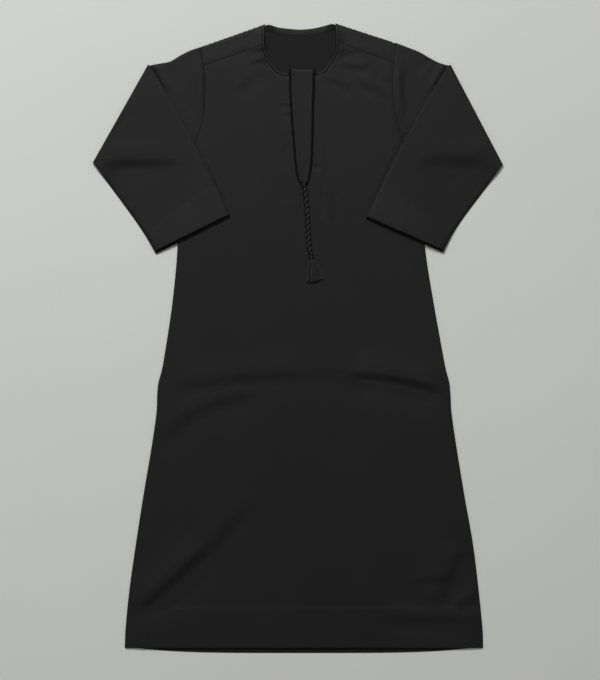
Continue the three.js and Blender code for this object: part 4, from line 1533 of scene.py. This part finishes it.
def sleeve_ring(side, stage, t):
    """One ring of the tube: outer points, inner points and places on the flat pattern."""
    ends = np.array([0.0, 1.0])
    first = sleeve_station(side, stage, t, ends)[0]
    width = np.linalg.norm(first[1] - first[0])
    pressed = PRESSED["share"] * smooth(0, PRESSED["reach"], t) if stage == "forearm" else 0
    edge = (1 - pressed) * EDGE_RADIUS
    shares = np.linspace(edge / width, 1 - edge / width, LAYER_COLUMNS + 1)
    outer, inner, across, floor_of_tube = [], [], [], []

    def layer(way, w):
        middle, front_way, puff, swell = sleeve_station(side, stage, t, w)
        floor_of_tube.append(middle[:, 2] - EDGE_RADIUS)
        fade = smooth(edge, EDGE_WIDTH[stage], width * np.minimum(w, 1 - w))
        height = EDGE_RADIUS + (puff if way > 0 else swell) * fade
        face = middle + way * height[:, None] * front_way
        outer.append(face)
        inner.append(face - way * WALL * front_way)
        across.append(w * width)

    def roll(at_foot):
        angles = ROLL_ANGLES if at_foot else -ROLL_ANGLES
        for radius, line in ((EDGE_RADIUS, outer), (EDGE_RADIUS - WALL, inner)):
            aside = (1 - pressed) * (EDGE_RADIUS - radius * np.cos(angles))
            w = (width - aside if at_foot else aside) / width
            middle, front_way, _, _ = sleeve_station(side, stage, t, w)
            line.append(middle + (radius * np.sin(angles))[:, None] * front_way)
        floor_of_tube.append(middle[:, 2] - EDGE_RADIUS)
        across.append(np.full(len(angles), width if at_foot else 0.0))

    layer(1, shares)
    roll(True)
    layer(-1, shares[::-1])
    roll(False)
    outer, inner = np.vstack(outer), np.vstack(inner)
    across = np.concatenate(across)
    if stage == "forearm":
        lowest = np.concatenate(floor_of_tube)
        flatter = 1 - smooth(0, FLAT_EDGE["width"], width - across)
        keep = 1 - FLAT_EDGE["share"] * flatter * smooth(*FLAT_EDGE["range"], t)
        for face in (outer, inner):
            face[:, 2] = lowest + (face[:, 2] - lowest) * keep
        open_mouth(side, t, lowest, outer, inner)
    return outer, inner, across


def allowance_ring(first, second):
    """The seam allowance: the tube goes on, pressed flat, under the edge of the body."""
    way = second[0][:, :2] - first[0][:, :2]
    way *= SEAM_ALLOWANCE["reach"] / np.linalg.norm(way, axis=1, keepdims=True)
    faces = []
    for face in first[:2]:
        tucked = face.copy()
        tucked[:, :2] -= way
        tucked[:, :2] += SEAM_ALLOWANCE["narrower"] * (tucked[:, :2].mean(axis=0) - tucked[:, :2])
        tucked[:, 2] = SEAM_ALLOWANCE["level"] + SEAM_ALLOWANCE["squeeze"] * face[:, 2]
        faces.append(tucked)
    return faces[0], faces[1], first[2]


STATIONS = {  # how far along its stage each ring is, with more rings at the seam and the cuff
    "upper": [0, 0.012, 0.03, *np.linspace(0.06, 1, 26)[:-1]],
    "turn": np.linspace(0, 1, 15),
    "forearm": sorted([*np.linspace(0, 1, 90)[1:], 0.994]),
}


def sleeve_shell(side):
    """Outer and inner points of a sleeve, ring by ring, and their places on the flat cloth."""
    stations = [(stage, t) for stage, places in STATIONS.items() for t in places]
    rings = [sleeve_ring(side, stage, t) for stage, t in stations]
    rings.insert(0, allowance_ring(*rings[:2]))
    over, under, across = (np.array(part) for part in zip(*rings))
    return over, under, np.stack([across, distance_along(over)], axis=2).reshape(-1, 2)


sleeves, sleeve_size, sleeve_area = {}, {}, {}
for side in OUTWARD:
    over, under, flat = sleeve_shell(side)
    girth = np.linalg.norm(over - np.roll(over, 1, axis=1), axis=2).sum(axis=1).max()
    sleeve_size[side] = (girth * MM, flat[:, 1].max() * MM)
    sleeve_area[side] = grid_area(np.concatenate([over, over[:, :1]], axis=1))
    points, faces = closed_shell(over, under, ringed=True)
    faces = facing_out(points, faces)
    sleeves[side] = make_mesh(f"sleeve_{side}_tube", points, faces, np.vstack([flat, flat]))
    finish_piece(sleeves[side], cloth, "body_cloth", f"sleeve_{side}")
    # The inner faces take the darker copy of the cloth: painted shade in the mouths of the cuffs.
    sleeves[side].data.materials.append(inside_painted_shade)
    within = [int(min(face) >= len(points) // 2) for face in faces]
    sleeves[side].data.polygons.foreach_set("material_index", within)
    print(f"sleeve {side}: {len(points)} points, top at {points[:, 2].max():.1f} mm")

# %% [markdown]
# ## Node trees for thread and cord
# Stitches, plies and tassel threads all follow a line, so Geometry Nodes make them: each tree
# takes lines as curves and puts a small shape along them. The tree ends in Realize Instances and
# Set Material, and the result is kept as a plain mesh.

# %% Tree helpers
def new_tree(name, **inputs):
    """A node tree whose lines come as curves, with named inputs: numbers and a material."""
    tree = bpy.data.node_groups.new(name, "GeometryNodeTree")
    tree.interface.new_socket("Geometry", in_out="INPUT", socket_type="NodeSocketGeometry")
    for key, value in inputs.items():
        kind = "Material" if value is None else "Int" if isinstance(value, int) else "Float"
        socket = tree.interface.new_socket(
            key.replace("_", " "), in_out="INPUT", socket_type=f"NodeSocket{kind}"
        )
        if value is not None:
            socket.default_value = value
    tree.interface.new_socket("Geometry", in_out="OUTPUT", socket_type="NodeSocketGeometry")
    given = {socket.name: socket for socket in add(tree, "NodeGroupInput").outputs}
    curve = add(tree, "GeometryNodeMeshToCurve", {"Mesh": given["Geometry"]}).outputs[0]
    return tree, given, curve


def close_tree(tree, geometry, material):
    """Realize Instances, Set Material and the output."""
    real = add(tree, "GeometryNodeRealizeInstances", {"Geometry": geometry})
    finish = add(
        tree, "GeometryNodeSetMaterial", {"Geometry": real.outputs[0], "Material": material}
    )
    add(tree, "NodeGroupOutput", {"Geometry": finish.outputs[0]})
    return tree


def grow(name, lines, tree, **values):
    """Runs a tree on some lines of points and keeps the result as a plain mesh."""
    points, edges = [], []
    for line in lines:
        start = sum(len(p) for p in points)
        edges += [(start + i, start + i + 1) for i in range(len(line) - 1)]
        points.append(np.asarray(line))
    source = make_mesh(name + "_lines", np.vstack(points), [], edges=edges)
    modifier = source.modifiers.new("grow", "NODES")
    modifier.node_group = tree
    for item in tree.interface.items_tree:
        if item.in_out == "INPUT" and item.name.replace(" ", "_") in values:
            modifier[item.identifier] = values[item.name.replace(" ", "_")]
    shown = source.evaluated_get(bpy.context.evaluated_depsgraph_get())
    mesh = bpy.data.meshes.new_from_object(shown)
    source.modifiers.remove(modifier)
    bpy.data.objects.remove(source)
    piece = bpy.data.objects.new(name, mesh)
    mesh.name = name
    bpy.context.scene.collection.objects.link(piece)
    print(f"{name}: {len(lines)} lines, {len(mesh.polygons)} faces")
    return piece


# %% The tree for a tube along a line
def tube_tree():
    """Round thread along each line, with a little unevenness."""
    tree, given, curve = new_tree(
        "thread along a line",
        Thread_radius=0.5 * MM,
        Sides=6,
        Waver=0.0,
        Waver_scale=80.0,
        Thread=None,
    )
    noise = add(tree, "ShaderNodeTexNoise", {"Scale": given["Waver scale"], "Detail": 1.0})
    centred = add(
        tree,
        "ShaderNodeVectorMath",
        {0: noise.outputs["Color"], 1: (0.5, 0.5, 0.5)},
        operation="SUBTRACT",
    )
    scaled = add(
        tree,
        "ShaderNodeVectorMath",
        {0: centred.outputs[0], "Scale": given["Waver"]},
        operation="SCALE",
    )
    wavered = add(
        tree, "GeometryNodeSetPosition", {"Geometry": curve, "Offset": scaled.outputs[0]}
    )
    section = add(
        tree,
        "GeometryNodeCurvePrimitiveCircle",
        {"Resolution": given["Sides"], "Radius": given["Thread radius"]},
    )
    tube = add(
        tree,
        "GeometryNodeCurveToMesh",
        {"Curve": wavered.outputs[0], "Profile Curve": section.outputs[0], "Fill Caps": True},
    )
    return close_tree(tree, tube.outputs[0], given["Thread"])


thread_tube = tube_tree()


# %% The tree for a twisted cord
def rope_tree():
    """Plies laid side by side and turned round the line, once in each pitch."""
    tree, given, curve = new_tree(
        "twisted cord",
        Pitch=25 * MM,
        Plies=2,
        Ply_radius=2.9 * MM,
        Ply_offset=2.6 * MM,
        Step=1.2 * MM,
        Cord=None,
    )
    fine = add(
        tree,
        "GeometryNodeResampleCurve",
        {"Curve": curve, "Length": given["Step"]},
        mode="LENGTH",
    )
    reached = add(tree, "GeometryNodeSplineParameter")
    turns = add(
        tree,
        "ShaderNodeMath",
        {0: reached.outputs["Length"], 1: given["Pitch"]},
        operation="DIVIDE",
    )
    tilt = add(
        tree, "ShaderNodeMath", {0: turns.outputs[0], 1: math.tau}, operation="MULTIPLY"
    )
    tilted = add(
        tree,
        "GeometryNodeSetCurveTilt",
        {"Curve": fine.outputs[0], "Tilt": tilt.outputs[0]},
    )
    ring = add(
        tree,
        "GeometryNodeCurvePrimitiveCircle",
        {"Resolution": 14, "Radius": given["Ply radius"]},
    )
    beside = add(tree, "ShaderNodeCombineXYZ", {"X": given["Ply offset"]})
    squeezed = add(
        tree,
        "GeometryNodeTransform",
        {"Geometry": ring.outputs[0], "Translation": beside.outputs[0], "Scale": (1.0, 1.12, 1.0)},
    )
    copies = add(
        tree,
        "GeometryNodeDuplicateElements",
        {"Geometry": squeezed.outputs[0], "Amount": given["Plies"]},
        domain="SPLINE",
    )
    count = add(
        tree,
        "ShaderNodeMath",
        {0: copies.outputs["Duplicate Index"], 1: given["Plies"]},
        operation="DIVIDE",
    )
    angle = add(
        tree, "ShaderNodeMath", {0: count.outputs[0], 1: math.tau}, operation="MULTIPLY"
    )
    here = add(tree, "GeometryNodeInputPosition")
    turned = add(
        tree,
        "ShaderNodeVectorRotate",
        {"Vector": here.outputs[0], "Angle": angle.outputs[0]},
        rotation_type="Z_AXIS",
    )
    plies = add(
        tree,
        "GeometryNodeSetPosition",
        {"Geometry": copies.outputs[0], "Position": turned.outputs[0]},
    )
    rope = add(
        tree,
        "GeometryNodeCurveToMesh",
        {"Curve": tilted.outputs[0], "Profile Curve": plies.outputs[0], "Fill Caps": True},
    )
    return close_tree(tree, rope.outputs[0], given["Cord"])


twisted_cord = rope_tree()

# %% [markdown]
# ## The twisted cord
# Two plies of rayon twisted together, 11 mm across, turning once in 25 mm. Its length is the
# length that shows, from the knot to the tassel.

# %% The cord
CORD_REST = ON_CLOTH + CORD["diameter"] / 2 + 0.1


def cord_route(line):
    return on_front(line[:, 0], line[:, 1], CORD_REST - ON_CLOTH)


route = cord_route(cord_line)
rope = grow(
    "twisted_cord",
    [route],
    twisted_cord,
    Pitch=CORD["pitch"] * MM,
    Plies=CORD["plies"],
    Ply_radius=CORD["ply_radius"] * MM,
    Ply_offset=CORD["ply_offset"] * MM,
    Cord=cord_rayon,
)
finish_piece(rope, None, "trim_cord", "cord")

# %% [markdown]
# ## The knot
# The cord is tied in a small knot over the tip of the placket. A tight overhand knot seen from
# above is close to a trefoil, so a trefoil curve of the cord's single ply makes it.

# %% The knot
KNOT = {"x": 13.8, "y": 345.5, "radius": 7.2, "strand": 2.0, "squeeze": (0.86, 0.95, 1)}
knot_level = float(front_top(KNOT["x"], KNOT["y"])) + ON_CLOTH + KNOT["radius"]
turn = np.linspace(0, math.tau, 90)
trefoil = np.stack(
    [
        np.sin(turn) + 2 * np.sin(2 * turn),
        np.cos(turn) - 2 * np.cos(2 * turn),
        -1.6 * np.sin(3 * turn),
    ],
    axis=1,
)
knot_size = np.array(KNOT["squeeze"]) * (KNOT["radius"] - KNOT["strand"]) / 3
knot_line = np.array([KNOT["x"], KNOT["y"], knot_level]) + trefoil * knot_size
knot = grow(
    "cord_knot_loops",
    [knot_line],
    thread_tube,
    Thread_radius=KNOT["strand"] * MM,
    Sides=12,
    Thread=cord_rayon,
)
finish_piece(knot, None, "trim_cord", "cord_knot")

# %% [markdown]
# ## The tassel
# The cord ends in a small wound knob, a head, and a skirt of cut rayon threads that lies on the
# cloth, with a narrow lock to the left and a wide one to the right. The threads are lines placed
# by a loop with a fixed seed, and the tree gives them their thickness.

# %% The tassel's sizes
TASSEL = {
    "threads": 220,
    "foot_y": 124.5,
    "foot_left": 19.8,
    "foot_right": 57.0,
    "foot_rise": 7,
    "foot_curve": 2,
    "foot_uneven": (0.8, 1.4),
    "root_half": 7.4,
    "root_y": 4.5,  # above the middle of the head
    "root_curve": 4,
    "root_lift": (3.0, 6.0),  # at the least, and how much more
    "lock_half": 0.07,
    "thread_radius": 0.62,
    "height": 10,
}
tassel_knob = {"x": 29.6, "y": 183, "radius": 5.6}
tassel_head = {"x": 31.6, "y": 173, "half_width": 6.0, "half_length": 8.3, "half_height": 5.0}


def tassel_threads():
    """Lines from the head to the cut ends, in two locks."""
    chance = np.random.default_rng(7)
    lines = []
    locks = np.array([-0.97, -0.78, -0.38, -0.2, 0.0, 0.2, 0.42, 0.62, 0.82, 0.98])
    lock_height = np.array([0.7, 1.0, 1.0, 0.5, 0.95, 0.45, 1.0, 0.55, 1.0, 0.6])
    for i in range(TASSEL["threads"]):
        lock = i % len(locks)
        within = np.clip(chance.normal(0, 0.4), -1, 1)
        u = float(np.clip(locks[lock] + TASSEL["lock_half"] * within, -1.05, 1.05))
        level = math.sqrt(chance.uniform(0, 1)) * (1 - 0.6 * within**2)
        root_x = tassel_head["x"] + TASSEL["root_half"] * u
        root_y = tassel_head["y"] + TASSEL["root_y"] - TASSEL["root_curve"] * u * u
        foot_x = mix(TASSEL["foot_left"], TASSEL["foot_right"], (u + 1) / 2)
        foot_y = TASSEL["foot_y"] + TASSEL["foot_rise"] * smooth(-1, 1, u)
        foot_y = foot_y + TASSEL["foot_curve"] * u * u
        aside, short = (chance.normal(0, uneven) for uneven in TASSEL["foot_uneven"])
        t = np.linspace(0, 1, 12)
        spread = 0.5 * smooth(-0.3, 0.6, t) + 0.5 * t
        x = mix(root_x, foot_x + aside, spread)
        y = mix(root_y, foot_y + abs(short), t)
        rest = front_top(x, y) + ON_CLOTH + TASSEL["thread_radius"]
        crown = TASSEL["height"] * (1 - 0.75 * abs(u) ** 3) * lock_height[lock]
        least, more = TASSEL["root_lift"]
        root_lift = (least + more * level) * (1 - 0.5 * u * u)
        lift = mix(root_lift, crown * level, smooth(0, 0.7, t))
        lift = lift * (1 - 0.12 * smooth(0.6, 1, t))
        lines.append(np.stack([x, y, rest + lift], axis=1))
    return lines


def ellipsoid(centre, half, name):
    """A smooth closed body, which the winding thread covers."""
    bpy.ops.mesh.primitive_uv_sphere_add(segments=32, ring_count=20, radius=1)
    body = bpy.context.object
    body.name = name
    points = np.array([v.co for v in body.data.vertices]) * half + centre + ORIGIN_SHIFT
    body.data.vertices.foreach_set("co", (points * MM).ravel())
    body.data.polygons.foreach_set("use_smooth", [True] * len(body.data.polygons))
    return body


tassel_rest = float(front_top(tassel_head["x"], tassel_head["y"])) + ON_CLOTH
skirt = grow(
    "tassel_skirt",
    tassel_threads(),
    thread_tube,
    Thread_radius=TASSEL["thread_radius"] * MM,
    Sides=5,
    Waver=1.3 * MM,
    Waver_scale=170.0,
    Thread=tassel_rayon,
)
finish_piece(skirt, None, "trim_cord", "tassel")


# %% The wound knob and head
WOUND_SHARE = 0.93  # how much of the body's length the thread covers


def winding(centre, half, way, turns, thread):
    """Thread wound round a body, as one long line."""
    along_way = unit([*way, 0])
    aside = np.array([-along_way[1], along_way[0], 0])
    t = np.linspace(-WOUND_SHARE, WOUND_SHARE, turns * 20)
    angle = (t + 1) * math.pi * turns
    ring = np.sqrt(1 - t * t)
    return (
        np.asarray(centre)
        + along_way * (t * half[1])[:, None]
        + aside * (ring * np.cos(angle) * (half[0] - thread))[:, None]
        + np.array([0, 0, 1.0]) * (ring * np.sin(angle) * (half[2] - thread))[:, None]
    )


WINDING_THREAD = 0.55
tassel_way = (-0.18, 1)
bodies = {
    "knob": (tassel_knob, [tassel_knob["radius"]] * 3, 9),
    "head": (
        tassel_head,
        [tassel_head[key] for key in ("half_width", "half_length", "half_height")],
        9,
    ),
}
wound_lines = []
for place, half, turns in bodies.values():
    centre = [place["x"], place["y"], tassel_rest + half[2]]
    wound_lines.append(winding(centre, half, tassel_way, turns, WINDING_THREAD))
wound = grow(
    "tassel_winding",
    wound_lines,
    thread_tube,
    Thread_radius=WINDING_THREAD * MM,
    Sides=6,
    Thread=cord_rayon,
)
finish_piece(wound, None, "trim_cord")
for key, (place, half, turns) in bodies.items():
    centre = [place["x"], place["y"], tassel_rest + half[2]]
    core = ellipsoid(centre, np.array(half) - WINDING_THREAD, f"tassel_{key}_core")
    finish_piece(core, tassel_rayon, "trim_cord")


# %% [markdown]
# ## Sewing
# The seams are sewn with black thread that stands out only as a fine broken line: along the hem
# and the cuffs, beside the neckband and along the placket. The thread is coloured a little lighter
# than the cloth, as a painted highlight. One tree puts a short round stitch at each step of a
# line.

# %% The tree for stitches
def stitch_tree():
    """Short stitches along lines, each turned a little by chance."""
    tree, given, curve = new_tree(
        "running stitches",
        Stitch_pitch=3.0 * MM,
        Stitch_length=2.3 * MM,
        Thread_radius=0.22 * MM,
        Unevenness=0.06,
        Seed=3,
        Thread=None,
    )
    places = add(
        tree,
        "GeometryNodeCurveToPoints",
        {"Curve": curve, "Length": given["Stitch pitch"]},
        mode="LENGTH",
    )
    facing = add(
        tree,
        "FunctionNodeAlignRotationToVector",
        {"Vector": places.outputs["Tangent"]},
        axis="X",
    )
    least = add(
        tree, "ShaderNodeMath", {0: given["Unevenness"], 1: -1.0}, operation="MULTIPLY"
    )
    chance = add(
        tree,
        "FunctionNodeRandomValue",
        {"Min": least.outputs[0], "Max": given["Unevenness"], "Seed": given["Seed"]},
        data_type="FLOAT",
    )
    aside = add(tree, "ShaderNodeCombineXYZ", {"Z": chance.outputs[1]})
    jitter = add(tree, "FunctionNodeEulerToRotation", {"Euler": aside.outputs[0]})
    turned = add(
        tree,
        "FunctionNodeRotateRotation",
        {"Rotation": facing.outputs[0], "Rotate By": jitter.outputs[0]},
        rotation_space="LOCAL",
    )
    ball = add(tree, "GeometryNodeMeshUVSphere", {"Segments": 6, "Rings": 4, "Radius": 1.0})
    half = add(
        tree, "ShaderNodeMath", {0: given["Stitch length"], 1: 0.5}, operation="MULTIPLY"
    )
    size = add(
        tree,
        "ShaderNodeCombineXYZ",
        {"X": half.outputs[0], "Y": given["Thread radius"], "Z": given["Thread radius"]},
    )
    stitch = add(
        tree, "GeometryNodeTransform", {"Geometry": ball.outputs[0], "Scale": size.outputs[0]}
    )
    sewn = add(
        tree,
        "GeometryNodeInstanceOnPoints",
        {
            "Points": places.outputs["Points"],
            "Instance": stitch.outputs[0],
            "Rotation": turned.outputs[0],
        },
    )
    return close_tree(tree, sewn.outputs[0], given["Thread"])


running_stitches = stitch_tree()

# %% Where the stitches run
STITCH_RISE = 0.12
STITCH_ASIDE = {"hem": 1.2, "neck": 1.6, "placket": 4.2}
STITCH_ENDS = {"hem": 7, "neck": 3, "placket": (4, 12)}  # how far it stops before the ends


def stitches_on_front(line):
    line = evenly(line, 4)
    return np.column_stack([line, front_top(line[:, 0], line[:, 1]) + STITCH_RISE])


def hem_line():
    y = HEM_Y + HEM_DEPTH - STITCH_ASIDE["hem"]
    end = STITCH_ENDS["hem"]
    x = np.linspace(side_x(y, "left") + end, side_x(y, "right") - end, 200)
    return stitches_on_front(pairs(x, y))


def cuff_line(side, from_cuff):
    """A line round the visible layer of a sleeve, parallel to the cuff."""
    cut = sleeve_cut[side]
    length = np.linalg.norm(cut["cuff_inner"] - cut["fold_top"])
    t = 1 - from_cuff / length
    w = np.linspace(0.02, 0.98, 70)
    middle, _, _, swell = sleeve_station(side, "forearm", t, w)
    first = sleeve_station(side, "forearm", t, np.array([0.0, 1.0]))[0]
    width = np.linalg.norm(first[1] - first[0])
    fade = smooth(0, EDGE_WIDTH["forearm"], width * np.minimum(w, 1 - w))
    middle[:, 2] += EDGE_RADIUS + swell * fade + cut["gape"] * smooth(*GAPE_RANGE, t) + STITCH_RISE
    return middle


def neck_line(side):
    line = moved(band_seam(side), OUTWARD[side] * STITCH_ASIDE["neck"])
    foot = read(shoulder_seam[side], "x", "y", line[0, 0])
    return stitches_on_front(line[line[:, 1] < foot - STITCH_ENDS["neck"]])


def placket_lines():
    from_top, from_foot = STITCH_ENDS["placket"]
    y = np.linspace(PLACKET["top"] - from_top, PLACKET["foot"] + from_foot, 80)
    aside = BRAID["half"] + SEAM_GAP + STITCH_ASIDE["placket"]
    lines = []
    for side, outward in OUTWARD.items():
        x = read(placket_rows, "y", side, y) - outward * aside
        lines.append(on_front(x, y, PLACKET["level"] + STITCH_RISE))
    return lines


sewing_lines = [
    hem_line(),
    *[cuff_line(side, CUFF["hem"] - 1) for side in OUTWARD],
    *[neck_line(side) for side in OUTWARD],
    *placket_lines(),
]
sewing = grow("sewing", sewing_lines, running_stitches, Thread=stitch_thread_painted_highlight)
finish_piece(sewing, None, "body_cloth")

# %% [markdown]
# ## Floor and light
# The floor is plain and pale. One large soft lamp above the top left corner gives the long soft
# folds their shade, and a pale sky fills the rest.

# %% Floor
def floor_material():
    """Matt painted board: pale, even and dry, with the faintest unevenness of tone."""
    material, tree, shader = new_material("matt_painted_board")
    place = add(tree, "ShaderNodeTexCoord").outputs["Object"]
    patches = add(tree, "ShaderNodeTexNoise", {"Vector": place, "Scale": 2.5, "Detail": 3.0})
    tone = add(
        tree,
        "ShaderNodeMix",
        {0: patches.outputs["Fac"], 6: colour("#cdcec9"), 7: colour("#d2d3ce")},
        data_type="RGBA",
    )
    set_surface(tree, shader, tone.outputs[2], roughness=0.9, gloss=0.2)
    return material


FLOOR_HALF = 6000
FLOOR_LEVEL = -0.3
corners = np.array(
    [(x, y, FLOOR_LEVEL) for x, y in ((-1, -1), (1, -1), (1, 1), (-1, 1))], float
)
corners[:, :2] *= FLOOR_HALF
floor = make_mesh("floor", corners, [(0, 1, 2, 3)])
floor.data.materials.append(floor_material())
print("stage:", floor.name)

# %% Light
LAMP = {"place": (-1.0, 4.2, 4.6), "aim": (-3.0, -0.6, 0.0), "size": 2.0, "watts": 338}
SKY = {"shade": "#f4f6f6", "strength": 0.3}

lamp_data = bpy.data.lights.new("soft_lamp", "AREA")
lamp_data.shape = "DISK"
lamp_data.size = LAMP["size"]
lamp_data.energy = LAMP["watts"]
lamp = bpy.data.objects.new("soft_lamp", lamp_data)
lamp.location = LAMP["place"]
aim = Vector(LAMP["aim"]) - Vector(LAMP["place"])
lamp.rotation_euler = aim.to_track_quat("-Z", "Y").to_euler()
bpy.context.scene.collection.objects.link(lamp)

world = bpy.data.worlds.new("studio")
world.use_nodes = True
sky = world.node_tree.nodes["Background"]
sky.inputs["Color"].default_value = colour(SKY["shade"])
sky.inputs["Strength"].default_value = SKY["strength"]
bpy.context.scene.world = world
bpy.context.scene.view_settings.view_transform = "Standard"
print(f"lamp: {aim.length:.1f} m from the cloth")

# %% [markdown]
# ## The sizes of the cut
# The flat sizes of the sleeves, the neckband and the placket are worked out and printed.

cut_size(*band_shells)
cut_size(placket_shell())
print("flat sleeves:", sleeve_size)
print("flat neckband and placket:", cut_size(*band_shells), cut_size(placket_shell()))
